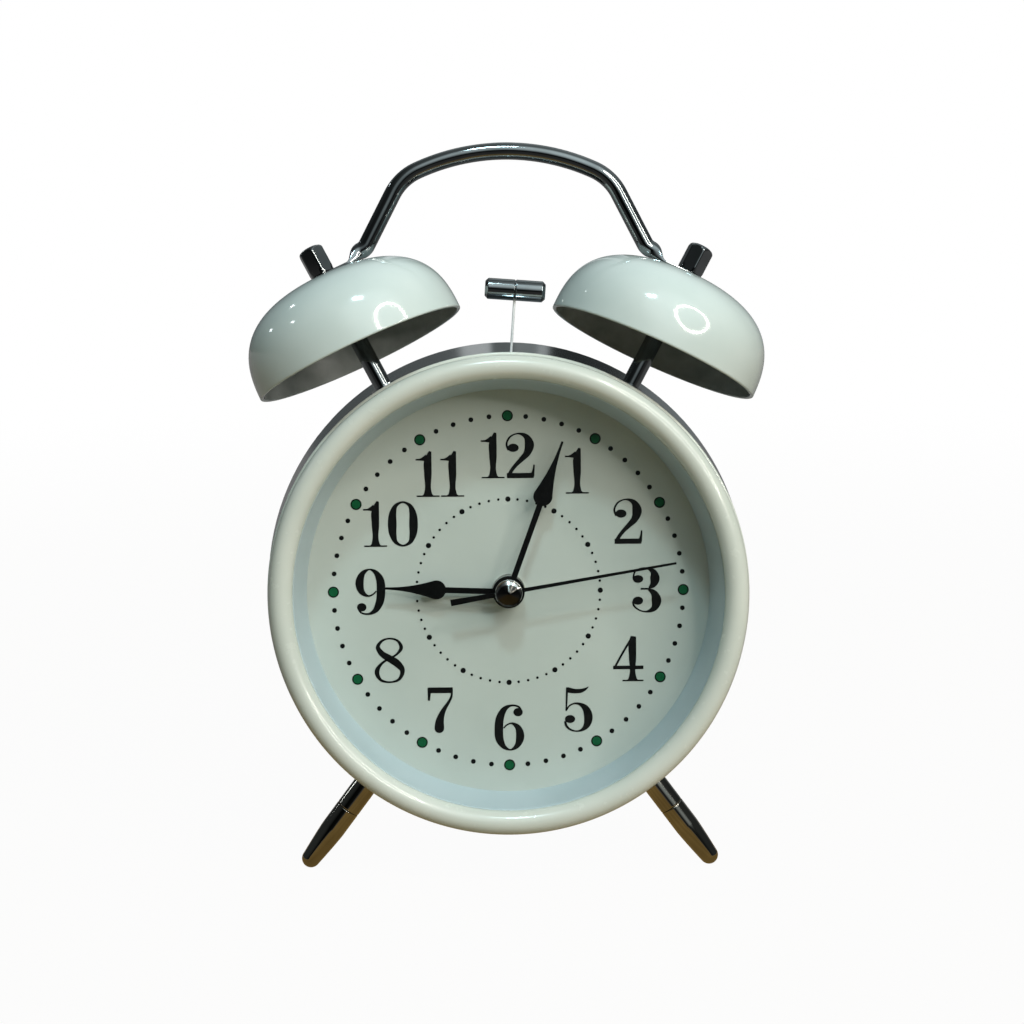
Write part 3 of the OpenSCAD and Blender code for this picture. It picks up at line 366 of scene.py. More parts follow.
def braced(profile, closed, least=0.7, edge=0.07):
    # a point close to each end of every long straight stretch, so that shading bends only beside the corners
    p = np.asarray(profile, float)
    q = np.roll(p, -1, 0)
    run = np.linalg.norm(q - p, axis=1)
    out = []
    for i in range(len(p)):
        out.append(p[i])
        if run[i] > least and (closed or i < len(p) - 1):
            step = (q[i] - p[i]) * edge / run[i]
            out += [p[i] + step, q[i] - step]
    return np.array(out)


def turned(profile, steps):
    # a line of (radius, height) carried round z; ends on the axis become poles, a line clear of it is a loop
    profile = np.asarray(profile, float)
    r, h = braced(profile, profile[:, 0].min() > 1e-6).T
    onAxis = r < 1e-6
    ring = fullTurn(steps)
    rows = np.flatnonzero(~onAxis)
    circle = np.stack([np.cos(ring), np.sin(ring), np.zeros(steps)], 1)
    points = r[rows, None, None] * circle + h[rows, None, None] * up
    faces = gridFaces(len(rows), steps, not onAxis.any(), True).tolist()
    points = points.reshape(-1, 3)
    for end, first in ((0, 0), (-1, (len(rows) - 1) * steps)):
        if onAxis[end]:
            pole = len(points)
            points = np.concatenate([points, [h[end] * up]])
            k = np.arange(steps)
            faces += np.stack([np.full(steps, pole), first + k, first + (k + 1) % steps], 1).tolist()
    return points, faces


def setOn(shape, origin, axis):  # a shape drawn about z, stood on an axis of the clock
    points, faces = shape
    beside = back if abs(axis @ back) < 0.9 else across  # never along the axis itself
    side = np.cross(beside, axis)
    side = side / np.linalg.norm(side)
    return origin + points @ np.stack([side, np.cross(axis, side), axis]), faces


def piece(name, shape, material, body, slot, stands=(), inner=None, angle=32):
    # a mesh at the origin with its place in its points; inner gives the faces that take the second material
    points, faces = shape
    mesh = bpy.data.meshes.new(name)
    mesh.from_pydata(stand(points).tolist(), [], [list(f) for f in faces])
    for m in material if isinstance(material, (list, tuple)) else [material]:
        mesh.materials.append(m)
    if inner is not None:
        mesh.polygons.foreach_set("material_index", np.asarray(inner, np.int32))
    work = bmesh.new()
    work.from_mesh(mesh)
    bmesh.ops.recalc_face_normals(work, faces=work.faces)
    work.to_mesh(mesh)
    work.free()
    mesh.polygons.foreach_set("use_smooth", np.ones(len(mesh.polygons), bool))
    mesh.set_sharp_from_angle(angle=math.radians(angle))
    made = bpy.data.objects.new(name, mesh)
    bpy.context.scene.collection.objects.link(made)
    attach(made, body)
    if stands:
        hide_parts(*stands)
    return made


def turnedPiece(name, profile, steps, origin, axis, *looks):  # a profile turned about an axis of the clock
    piece(name, setOn(turned(profile, steps), origin, axis), *looks)


# Front: bezel, glass, recess wall and dial

bezelSize = dict(ringWidth=5.2, flangeOut=1.0, flangeDepth=3.2, flangeEdge=0.8, groove=1.0, skin=1.3,
                 glassRoom=0.2, boreEdge=0.2, seatEdge=0.1, lipEdge=0.15)
glassSize = dict(edge=0.3)
recessSize = dict(thickness=0.9, flange=1.3, edge=0.2, bend=0.3)
dialSize = dict(edge=0.1)

centreLine = middle("glass") * [1, 0, 1]
glassFront, glassBack, glassRadius = reach("glass", centreLine, back)
_, bezelBack, flangeRadius = reach("bezel", centreLine, back)
bezelRadius = flangeRadius - bezelSize["flangeOut"]
bezelOpening = bezelRadius - bezelSize["ringWidth"]


def bezelProfile():
    # half circle of the ring, then its outside, groove, flange, bore and the seats of recess wall and glass
    s = bezelSize
    nose = s["ringWidth"] / 2
    groove = s["groove"] / 2
    bore = bezelRadius - s["skin"]
    seat = glassRadius + s["glassRoom"]
    flangeFront = bezelBack - s["flangeDepth"]
    ring = [bezelRadius - nose, nose] - nose * spoke(np.linspace(np.pi / 2, -np.pi / 2, 28))
    dip = [bezelRadius, flangeFront - groove] - groove * spoke(np.linspace(0, np.pi, 12))
    rear = filleted([(bezelRadius, flangeFront, 0), (flangeRadius, flangeFront, s["flangeEdge"]),
                     (flangeRadius, bezelBack, s["flangeEdge"]), (bore, bezelBack, s["boreEdge"]),
                     (bore, glassBack, s["seatEdge"]), (seat, glassBack, s["seatEdge"]),
                     (seat, glassFront, 0), (bezelOpening, glassFront, s["lipEdge"])], closed=False)
    return np.concatenate([ring, dip, rear])


turnedPiece("bezel_ring", bezelProfile(), 256, centreLine, back, bezelPaint, "case", "white_bezel", ["bezel"])

pane = filleted([(0, glassFront, 0), (glassRadius, glassFront, glassSize["edge"]),
                 (glassRadius, glassBack, glassSize["edge"]), (0, glassBack, 0)], closed=False)
turnedPiece("window_glass", pane, 192, centreLine, back, glass, "case", "window_glass", ["glass"])

recessFront, recessBack, recessRadius = reach("dial_ring", centreLine, back)
dialFront, dialBack, dialRadius = reach("dial", centreLine, back)
recessRear = recessFront + recessSize["flange"]
recess = filleted([(bezelOpening, recessFront, recessSize["bend"]),
                   (recessRadius, recessFront, recessSize["edge"]),
                   (recessRadius, recessRear, recessSize["edge"]),
                   (bezelOpening + recessSize["thickness"], recessRear, recessSize["bend"]),
                   (dialRadius, recessBack, 0), (dialRadius - recessSize["thickness"], recessBack, 0)])
turnedPiece("recess_wall", recess, 192, centreLine, back, wall, "case", "recess_white", ["dial_ring"])

boreRadius = np.linalg.norm((clockPoints("dial") - centreLine) * [1, 0, 1], axis=1).min()
disc = filleted([(boreRadius, dialFront, dialSize["edge"]), (dialRadius, dialFront, dialSize["edge"]),
                 (dialRadius, dialBack, dialSize["edge"]), (boreRadius, dialBack, dialSize["edge"])])
turnedPiece("dial_card", disc, 192, centreLine, back, card, "case", "dial_white", ["dial"])
print("front made")


# Print on the dial: numerals drawn with a pen whose width changes, and rings of dots

printSize = dict(rise=0.04, layerRise=0.04, numeral=10.35, digitGap=20, ring=31.4, ringOfTens=30.8,
                 minuteRing=39.8, innerRing=20.9, hourDot=2.55, hourRim=0.3, minuteDot=1.1, innerHourDot=1.2,
                 innerDot=0.6)
turnedHeight = 1016  # height about which the six is turned to make a nine

# Strokes in thousandths of the numeral's height, as rows of (x, y, pen width);
# a ball is (x, y, half width, half height)
numerals = {
    "0": dict(width=660, closed=[
        [(330, 978, 44), (485, 900, 85), (545, 750, 150), (563, 500, 192), (545, 250, 150),
         (485, 100, 85), (330, 22, 44), (175, 100, 85), (115, 250, 150), (97, 500, 192), (115, 750, 150),
         (175, 900, 85)]]),
    "1": dict(width=520, open=[
        [(268, 0, 340), (268, 30, 250), (268, 55, 195), (268, 100, 164), (268, 500, 164),
         (268, 780, 164), (288, 880, 124), (321, 1000, 58)],
        [(0, 817, 34), (100, 819, 45), (180, 835, 100), (250, 860, 150)],
        [(16, 16, 32), (268, 16, 32), (520, 16, 32)]]),
    "2": dict(width=637, open=[
        [(70, 615, 50), (27, 737, 45), (95, 895, 42), (292, 977, 38), (451, 915, 115), (527, 737, 207),
         (475, 549, 155), (350, 411, 110), (220, 279, 85), (115, 140, 80), (60, 30, 70)],
        [(30, 57, 114), (330, 57, 114), (620, 57, 114)],
        [(585, 50, 100), (608, 140, 58), (620, 220, 42), (626, 295, 34)]],
        balls=[(172, 666, 122, 90)]),
    "3": dict(width=656, open=[
        [(40, 750, 45), (75, 895, 36), (210, 972, 33), (363, 968, 50), (475, 900, 130), (517, 754, 210),
         (475, 615, 140), (390, 538, 50)],
        [(200, 522, 40), (310, 522, 40), (420, 522, 40)],
        [(377, 508, 50), (475, 445, 130), (550, 265, 213), (489, 90, 130), (320, 20, 40), (140, 72, 36),
         (45, 168, 45), (35, 250, 50)]],
        balls=[(145, 740, 115, 85), (140, 262, 115, 90)]),
    "4": dict(width=670, open=[
        [(430, 0, 340), (430, 30, 250), (430, 55, 195), (430, 100, 163), (430, 550, 163),
         (430, 860, 163), (452, 995, 118)],
        [(425, 975, 50), (220, 640, 48), (25, 285, 46)],
        [(0, 307, 79), (330, 307, 79), (670, 307, 79)],
        [(205, 17, 34), (430, 17, 34), (670, 17, 34)]]),
    "5": dict(width=650, open=[
        [(85, 985, 50), (75, 750, 45), (62, 465, 34)],
        [(85, 935, 120), (265, 902, 100), (410, 915, 85), (500, 955, 50), (558, 997, 14)],
        [(62, 468, 30), (130, 575, 35), (250, 630, 40), (360, 615, 65), (480, 530, 140), (550, 326, 192),
         (500, 130, 130), (400, 40, 60), (300, 17, 34), (170, 45, 40), (68, 130, 55), (35, 240, 50)]],
        balls=[(146, 286, 114, 88)]),
    "6": dict(width=658, open=[
        [(585, 885, 60), (545, 965, 42), (460, 1000, 40), (360, 1000, 50), (235, 935, 110),
         (140, 780, 165), (96, 500, 190), (127, 220, 165), (225, 75, 90), (345, 22, 36), (460, 75, 90),
         (565, 318, 182), (504, 530, 120), (371, 608, 42), (262, 565, 35), (200, 500, 30)]],
        balls=[(522, 854, 104, 92)]),
    "7": dict(width=554, open=[
        [(10, 945, 127), (280, 945, 127), (553, 945, 127)],
        [(50, 990, 110), (34, 880, 72), (30, 800, 58), (26, 716, 50)],
        [(535, 960, 40), (520, 800, 50), (446, 660, 68), (362, 530, 95), (300, 398, 135),
         (262, 265, 180), (250, 120, 212)]],
        balls=[(250, 106, 106, 106)]),
    "8": dict(width=676, closed=[
        [(349, 985, 40), (170, 930, 55), (85, 800, 90), (160, 665, 125), (335, 545, 155),
         (510, 430, 160), (620, 285, 110), (550, 90, 65), (335, 22, 40), (130, 85, 65), (60, 255, 105),
         (150, 420, 60), (335, 545, 45), (500, 640, 50), (597, 785, 82), (530, 925, 55)]]),
}
six = numerals["6"]
numerals["9"] = dict(
    width=six["width"],
    open=[[(six["width"] - x, turnedHeight - y, w) for x, y, w in line] for line in six["open"]],
    balls=[(six["width"] - x, turnedHeight - y, a, b) for x, y, a, b in six["balls"]])


def smoothLine(rows, closed=False, perSpan=9):
    # cubic through the rows; a row's slope is the mean of its neighbours' slopes, weighted by distance
    p = np.array(rows, float)
    before, after = (p[-1:], p[:2]) if closed else (2 * p[:1] - p[1:2], 2 * p[-1:] - p[-2:-1])
    p = np.concatenate([before, p, after])
    d = np.linalg.norm(np.diff(p[:, :2], axis=0), axis=1)[:, None]
    rate = np.diff(p, axis=0) / d
    slope = (rate[:-1] * d[1:] + rate[1:] * d[:-1]) / (d[1:] + d[:-1])
    a, b, step = p[1:-2], p[2:-1], d[1:-1]
    ma, mb = slope[:-1] * step, slope[1:] * step
    t = np.linspace(0, 1, perSpan, endpoint=False)[:, None, None]
    line = ((2 * t**3 - 3 * t**2 + 1) * a + (t**3 - 2 * t**2 + t) * ma
            + (3 * t**2 - 2 * t**3) * b + (t**3 - t**2) * mb)
    line = line.transpose(1, 0, 2).reshape(-1, p.shape[1])
    return line if closed else np.concatenate([line, p[-2:-1]])


def inked(outlineA, outlineB, closed, rise):
    # a flat ribbon between two edges, as a thin closed solid that stands up by rise
    low, high = np.zeros(len(outlineA)), np.full(len(outlineA), rise)
    rows = np.stack([np.column_stack([outlineA, low]), np.column_stack([outlineA, high]),
                     np.column_stack([outlineB, high]), np.column_stack([outlineB, low])], 1)
    return rows.reshape(-1, 3), tubeFaces(len(rows), 4, closed)


def penStroke(rows, closed, rise):
    # the pen's edges lie half its width to either side of the line
    line = smoothLine(rows, closed)
    chord = np.roll(line, -1, 0) - np.roll(line, 1, 0)
    along = chord[:, :2] if closed else np.gradient(line[:, :2], axis=0)
    normal = np.stack([-along[:, 1], along[:, 0]], 1) / np.linalg.norm(along, axis=1)[:, None]
    half = line[:, 2:3] / 2
    return inked(line[:, :2] + normal * half, line[:, :2] - normal * half, closed, rise)


def blot(x, y, a, b, rise, steps=28):
    # a filled ellipse as a thin disc
    turn = fullTurn(steps)
    edge = np.stack([x + a * np.cos(turn), y + b * np.sin(turn)], 1)
    rows = np.concatenate([np.column_stack([edge, np.full(steps, height)]) for height in (0.0, rise)])
    return rows, tubeFaces(2, steps)


def drawnNumber(text, height):
    # its digits side by side, centred on the origin; each stroke lies a little above the one before
    s = printSize
    unit = height / 1000
    parts, x = [], 0.0
    for digit in text:
        shape = numerals[digit]
        drawn = [penStroke(line, False, 1.0) for line in shape.get("open", [])]
        drawn += [penStroke(line, True, 1.0) for line in shape.get("closed", [])]
        drawn += [blot(*ball, 1.0) for ball in shape.get("balls", [])]
        for layer, (points, faces) in enumerate(drawn):
            rise = s["rise"] * (1 + s["layerRise"] * layer)
            parts.append((points * [unit, unit, rise] + [x * unit, 0, 0], faces))
        x += shape["width"] + s["digitGap"]
    points, faces = joined(parts)
    return points - [(x - s["digitGap"]) * unit / 2, height / 2, 0], faces


def onDial(shape, x=0.0, z=0.0):  # a flat drawing put on the dial's face: its height stands towards the front
    points, faces = shape
    return np.stack([points[:, 0] + x, dialFront - points[:, 2], points[:, 1] + z], 1), faces


def hourPlace(hour, radius):
    a = math.radians(30 * hour)
    return radius * math.sin(a), radius * math.cos(a)


numbers = []
for hour in range(1, 13):
    text = str(hour)
    radius = printSize["ring"] if len(text) == 1 else printSize["ringOfTens"]
    numbers.append(onDial(drawnNumber(text, printSize["numeral"]), *hourPlace(hour, radius)))
piece("dial_numerals", joined(numbers), blackInk, "case", "hand_black", angle=60)


def dotRing(radius, diameter, minutes, rise):
    dots = []
    for minute in minutes:
        x, z = hourPlace(minute / 5, radius)
        dots.append(onDial(blot(0, 0, diameter / 2, diameter / 2, rise), x, z))
    return joined(dots)


hours = range(0, 60, 5)
minutes = [m for m in range(60) if m % 5]
rise = printSize["rise"]
outerRing, innerRing = printSize["minuteRing"], printSize["innerRing"]
blackDots = [dotRing(outerRing, printSize["minuteDot"], minutes, rise),
             dotRing(innerRing, printSize["innerHourDot"], hours, rise),
             dotRing(innerRing, printSize["innerDot"], minutes, rise),
             dotRing(outerRing, printSize["hourDot"], hours, rise)]
piece("minute_dots", joined(blackDots), blackInk, "case", "hand_black", angle=60)
greenDot = printSize["hourDot"] - 2 * printSize["hourRim"]
piece("hour_dots", dotRing(outerRing, greenDot, hours, 2 * rise), greenInk, "case", "hand_black", angle=60)
print("dial printed")


# Hands: the cap on the arbor is turned, the hands keep their stamped solids

capSize = dict(tip=0.25, tipEdge=0.2, rim=0.35, rimHigh=1.65, groove=0.18, bore=0.6)
# The last two give where the cap's painted shade on the cone ends and its painted highlight on the rim begins
capFinish = dict(ringPitch=0.12, paintedShadeTo=0.86, paintedHighlightFrom=0.89)  # the last two are shares of the cap's radius
capFront, capBack, capRadius = reach("hand_cap", centreLine, back)


def capProfile():
    # a shallow cone, a groove, a half-round bead at the rim, then the back
    s = capSize
    half = s["rim"] / 2
    rimFront = capBack - s["rimHigh"]
    cone = filleted([(0, capFront, 0), (s["tip"], capFront, s["tipEdge"]),
                     (capRadius - s["rim"], rimFront + s["groove"], 0)], closed=False)
    bead = [capRadius - half, rimFront + half] - half * spoke(np.linspace(np.pi / 2, -np.pi / 2, 14))
    return np.concatenate([cone, bead, [(capRadius, capBack), (s["bore"], capBack), (0, capBack)]])


turnedPiece("arbor_cap", capProfile(), 96, centreLine, back, turnedChrome(capRadius, **capFinish),
            "second_train", "black_nickel", ["hand_cap"])
print("hand cap made")


# Crown: posts, bells, cap nuts, handle and hammer

crownSize = dict(lean=2.0, postTilt=28.0, bellTilt=25.0)
bellSize = dict(fullness=2.7, wall=0.9, hole=1.6, lip=0.25, mouth=0.05, steps=224)
nutSize = dict(flats=5.5, crown=1.6, turn=10.0, corner=1.135, dome=1.16, drop=1.0, foot=1.06, bulge=0.98)
postSize = dict(diameter=4.1, stud=3.0, seat=5.8, shoulder=32.8, edge=0.15, studEdge=0.2)
sides = {"left": -1, "right": 1}

# Posts, bells and handle stand in a plane that leans back
crownLean = math.radians(crownSize["lean"])
crownBack = np.array([0.0, math.cos(crownLean), -math.sin(crownLean)])
crownUp = np.array([0.0, -crownBack[2], crownBack[1]])
crownAxes = np.stack([across, crownBack, crownUp])


def postLine(name, side):
    return middle(f"{name}_post"), tilted(crownSize["postTilt"], side) @ crownAxes


def bellLine(name, side):  # middle of a bell's mouth and the bell's axis
    axis = tilted(crownSize["bellTilt"], side) @ crownAxes
    q = clockPoints(f"{name}_bell")
    h = q @ axis
    own = np.stack([np.cross(crownBack, axis), crownBack, axis])
    rim = q[h < h.min() + bellSize["mouth"]] @ own.T
    return (rim.min(0) + rim.max(0)) / 2 @ own, axis


def superEllipse(radius, height, power, count):
    # quarter of |r/R|^n + |h/H|^n = 1 from the rim to the top, at equal steps
    a = np.linspace(0, np.pi / 2, 2000)
    return evenly(np.stack([radius * np.cos(a) ** (2 / power), height * np.sin(a) ** (2 / power)], 1), count)


def bellShape(low, high, radius):
    # outside, hole, inside and a half-round lip, turned; the second result marks the faces of the inside
    s = bellSize
    half = s["wall"] / 2
    outer = superEllipse(radius, high - low, s["fullness"], 72) + [0, low]
    inner = superEllipse(radius - s["wall"], high - low - s["wall"], s["fullness"], 60)[::-1] + [0, low]
    outer, inner = outer[outer[:, 0] > s["hole"]], inner[inner[:, 0] > s["hole"]]
    sweep = np.linspace(0, np.pi, 7)[1:-1]
    lip = np.stack([radius - half - half * np.cos(sweep), low + s["lip"] - s["lip"] * np.sin(sweep)], 1)
    outer[0, 1] = low + s["lip"]
    inner[-1, 1] = low + s["lip"]
    hole = [[s["hole"], high - s["wall"] * t] for t in (0, 0.5, 1)]
    shape = turned(np.concatenate([outer, hole, inner, lip]), s["steps"])
    row = np.arange(len(shape[1])) // s["steps"] - len(outer)
    return shape, ((row > 1) & (row < len(inner) + 3)).astype(np.int32)


def hexNut(low, high):
    # six flats whose corners a dome rounds off: the smaller of both radii at each angle and height
    s = nutSize
    flat = s["flats"] / 2
    turn = fullTurn(120)
    side = (turn + np.pi / 6) % (np.pi / 3) - np.pi / 6
    hexagon = np.minimum(flat / np.cos(side), flat * s["corner"])
    h = np.concatenate([[0, 0.12], np.linspace(0.2, 1, 22)]) * (high - low)
    share = np.clip((h - (high - low - s["crown"])) / s["crown"], 0, 1)
    dome = flat * s["dome"]
    crown = dome - (dome - flat + s["drop"]) * (1 - np.sqrt(1 - s["bulge"] * share**2))
    crown[0] = flat * s["foot"]
    r = np.minimum(hexagon[None], crown[:, None])
    turn = turn + math.radians(s["turn"])
    points = np.stack([r * np.cos(turn), r * np.sin(turn), np.broadcast_to(low + h[:, None], r.shape)], -1)
    return points.reshape(-1, 3), tubeFaces(len(h), len(turn))


for name, side in sides.items():
    origin, axis = bellLine(name, side)
    shape, inside = bellShape(*reach(f"{name}_bell", origin, axis))
    piece(f"{name}_bell_cup", setOn(shape, origin, axis), [enamel, lining], "case", "white_enamel",
          [f"{name}_bell"], inside, angle=50)
    origin, axis = postLine(name, side)
    nutLow, nutHigh, _ = reach(f"{name}_cap_nut", origin, axis)
    piece(f"{name}_hex_nut", setOn(hexNut(nutLow, nutHigh), origin, axis), nickel, "case", "black_nickel",
          [f"{name}_cap_nut"], angle=20)
    postLow, postHigh, _ = reach(f"{name}_post", origin, axis)
    rod, stud = postSize["diameter"] / 2, postSize["stud"] / 2
    seat, shoulder = postLow + postSize["seat"], postLow + postSize["shoulder"]
    line = filleted([(0, postLow, 0), (stud, postLow, postSize["studEdge"]), (stud, seat, 0),
                     (rod, seat, postSize["edge"]), (rod, shoulder, postSize["edge"]), (stud, shoulder, 0),
                     (stud, postHigh, postSize["studEdge"]), (0, postHigh, 0)], closed=False)
    turnedPiece(f"{name}_post_rod", line, 72, origin, axis, nickel, "case", "black_nickel", [f"{name}_post"])

handleSize = dict(bar=3.9, tabThick=0.8, tabWide=6.2, tabReach=10.1, tabFlat=0.6, tabSquare=6.0, lift=0.2,
                  leg=17.8, slope=63.0, rise=6.4, shoulder=12.0, bend=3.0, endShare=0.05)
crownAt = middle("right_post") * [0, 1, 1]


def handleLine():
    # right half from the tab's end to the arch's top, in the crown's plane: arcs at bend, shoulder and arch
    s = handleSize
    origin, axis = bellLine("right", 1)
    seat = origin + reach("right_bell", origin, axis)[1] * axis - crownAt
    seat, upRight = np.array([seat[0], seat @ crownUp]), np.array([axis[0], axis @ crownUp])
    outRight = np.array([upRight[1], -upRight[0]])
    slope, tilt = math.radians(s["slope"]), math.radians(crownSize["bellTilt"])
    away = spoke(slope)
    down = np.array([away[1], -away[0]])
    barHigh, flatHigh, flatEnd = s["bar"] / 2 + s["lift"], s["tabThick"] / 2, s["tabFlat"]
    barEnd = seat + barHigh * upRight - s["tabReach"] * outRight
    bendAt = barEnd - s["bend"] * math.tan((slope - tilt) / 2) * outRight
    corner = bendAt - s["leg"] * down
    archR = (corner[0] ** 2 + s["rise"] ** 2) / (2 * s["rise"])
    archAt = np.array([0, corner[1] + s["rise"] - archR])
    half = slope - math.acos(((bendAt - archAt) @ away - s["shoulder"]) / (archR - s["shoulder"]))
    shoulderAt = archAt + (archR - s["shoulder"]) * spoke(half)
    t = np.linspace(0, 1, 14)[1:, None]
    inward = np.linspace(-s["tabWide"] / 2, flatEnd * s["tabReach"], 26)[:, None]
    tab = seat + flatHigh * upRight - inward * outRight
    rise = (seat + (flatHigh + (barHigh - flatHigh) * (3 * t**2 - 2 * t**3)) * upRight
            - (flatEnd + (1 - flatEnd) * t) * s["tabReach"] * outRight)
    bend = barEnd + s["bend"] * upRight - s["bend"] * spoke(np.linspace(tilt, slope, 14)[1:])
    leg = bend[-1] + (shoulderAt + s["shoulder"] * away - bend[-1]) * np.linspace(0, 1, 8)[1:, None]
    shoulder = shoulderAt + s["shoulder"] * spoke(np.linspace(slope, half, 14)[1:])
    arch = archAt + archR * spoke(np.linspace(half, 0, 24)[1:])
    line = np.concatenate([tab, rise, bend, leg, shoulder, arch])
    flat = np.concatenate([np.ones(len(tab)), 1 - t[:, 0], np.zeros(len(line) - len(tab) - len(t))])
    return line, flat


def handleShape(around=40):
    # a section that goes from a flat bar to a round one, carried along the handle's line in the crown's plane
    s = handleSize
    line, flat = handleLine()
    run = np.concatenate([[0], np.cumsum(np.linalg.norm(np.diff(line, axis=0), axis=1))])
    line = np.concatenate([line, line[-2::-1] * [-1, 1]])
    flat = np.concatenate([flat, flat[-2::-1]])
    run = np.concatenate([run, run[-2::-1]])
    ease = flat * flat * (3 - 2 * flat)
    fromEnd = np.clip(run / (s["tabWide"] / 2), 0, 1)
    roundEnd = np.clip(np.sqrt(1 - (1 - fromEnd) ** 2), s["endShare"], 1)
    wide = (s["bar"] / 2 + (s["tabWide"] - s["bar"]) / 2 * ease) * roundEnd
    thick = s["bar"] / 2 + (s["tabThick"] - s["bar"]) / 2 * ease
    power = 2 / (2 + s["tabSquare"] * ease)
    along = np.gradient(line, axis=0)
    along /= np.linalg.norm(along, axis=1)[:, None]
    normal = np.stack([-along[:, 1], along[:, 0]], 1)
    turn = fullTurn(around)
    c, d = np.cos(turn), np.sin(turn)
    a = np.sign(c) * np.abs(c) ** power[:, None] * wide[:, None]
    b = np.sign(d) * np.abs(d) ** power[:, None] * thick[:, None]
    points = np.stack([line[:, :1] + normal[:, :1] * b, a, line[:, 1:] + normal[:, 1:] * b], -1)
    return crownAt + points.reshape(-1, 3) @ crownAxes, tubeFaces(len(line), around)


piece("carry_handle", handleShape(), nickel, "case", "black_nickel", ["handle"], angle=40)

hammerSize = dict(edge=0.7, seam=0.25, faceRound=0.2, edgeRound=0.3, seamRound=0.1, seamFloor=0.08)
pivot = clockPlace(joints["hammer_swing"]["pos_m"])
headAt = middle("hammer_head")
wireAxis = (headAt - pivot) * [1, 0, 1] / np.linalg.norm((headAt - pivot) * [1, 0, 1])
headAxis = np.array([wireAxis[2], 0, -wireAxis[0]])
headLow, headHigh, headRadius = reach("hammer_head", headAt, headAxis)


def headProfile():
    # a rod with chamfered ends and a fine seam round its middle
    s = hammerSize
    edge, seam = s["edge"], s["seam"]
    return filleted([(0, headLow, 0), (headRadius - edge, headLow, s["faceRound"]),
                     (headRadius, headLow + edge, s["edgeRound"]), (headRadius, -seam, s["seamRound"]),
                     (headRadius - seam, 0, s["seamFloor"]), (headRadius, seam, s["seamRound"]),
                     (headRadius, headHigh - edge, s["edgeRound"]),
                     (headRadius - edge, headHigh, s["faceRound"]), (0, headHigh, 0)], closed=False)


turnedPiece("striker_head", headProfile(), 96, headAt, headAxis, nickel, "hammer", "black_nickel",
            ["hammer_head"])
print("crown made")


# Legs

legSize = dict(angle=36.8, collarBore=3.0, collarEdge=0.15, edge=0.25, rim=1.0, straight=5.6,
               taper=1.3, tip=4.2)


def collarProfile(low, high, radius):
    bore = legSize["collarBore"] / 2
    return filleted([(bore, low, 0), (radius, low, legSize["collarEdge"]), (radius, high, legSize["edge"]),
                     (bore, high, 0)])


def footProfile(low, high, radius):
    # a short straight rim, a flank that narrows as u^taper, and a round nose
    s = legSize
    tip = s["tip"] / 2
    rim = filleted([(0, low, 0), (radius, low, s["edge"]), (radius, low + s["rim"], 0)], closed=False)
    u = np.linspace(0, 1, 16)
    flank = np.stack([radius - (radius - tip) * u ** s["taper"],
                      low + s["straight"] + (high - low - s["straight"] - tip) * u], 1)
    nose = [0, high - tip] + tip * spoke(np.linspace(np.pi / 2, 0, 14)[1:])
    return np.concatenate([rim, flank, nose])


for name, side in sides.items():
    origin = middle(f"{name}_leg_collar")
    axis = tilted(legSize["angle"], side) * [1, 1, -1]
    collar = collarProfile(*reach(f"{name}_leg_collar", origin, axis))
    turnedPiece(f"{name}_leg_sleeve", collar, 72, origin, axis, legNickelPaintedReflection, "case", "black_nickel",
                [f"{name}_leg_collar"])
    foot = footProfile(*reach(f"{name}_foot", origin, axis))
    turnedPiece(f"{name}_leg_foot", foot, 72, origin, axis, legNickelPaintedReflection, "case", "black_nickel",
                [f"{name}_foot"])
print("legs made")


# The solids that stay get their finish

finishes = {
    steelSheet: ["case_drum"],
    handPaint: ["hour_hand", "minute_hand", "second_hand", "alarm_hand"],
    blackAbs: ["back_cover", "time_knob", "alarm_knob", "battery_door"],
    whiteAbs: ["movement_plate", "movement_cover", "motor_bracket", "hour_wheel", "alarm_wheel",
               "alarm_switch", "hammer_lever"],
    zinc: ["cover_screws", "post_nuts", "leg_screws", "battery_contacts", "striker_motor",
           "hammer_pivot_pin"],
    wirePaintedSheen: ["hammer_wire"],
    brass: ["second_wheel", "cannon_pinion", "setting_stem", "alarm_stem", "motor_crank"],
    copper: ["stepper_coil"],
    boardMask: ["circuit_board"],
    cellJacket: ["battery_cell"],
}
for material, names in finishes.items():
    for name in names:
        for slot in nodes[name].material_slots:
            slot.link = "OBJECT"
            slot.material = material
print("solids finished")


# Stage, light and camera

# Metal mirrors a warm patch under the clock and dim grey beyond it, where the camera sees white paper
stageSize = dict(floor=6.0, nearShadow=0.2, farShadow=1.0, glow=0.965, paper="#988b73",
                 warm="#9d834f", warmDark="#836b3c", warmAt=-0.05, warmEdge=0.17, warmGrain=12,
                 frontEdge=-0.3, front=0.06, side=0.2)
eased = dict(interpolation_type="SMOOTHSTEP")


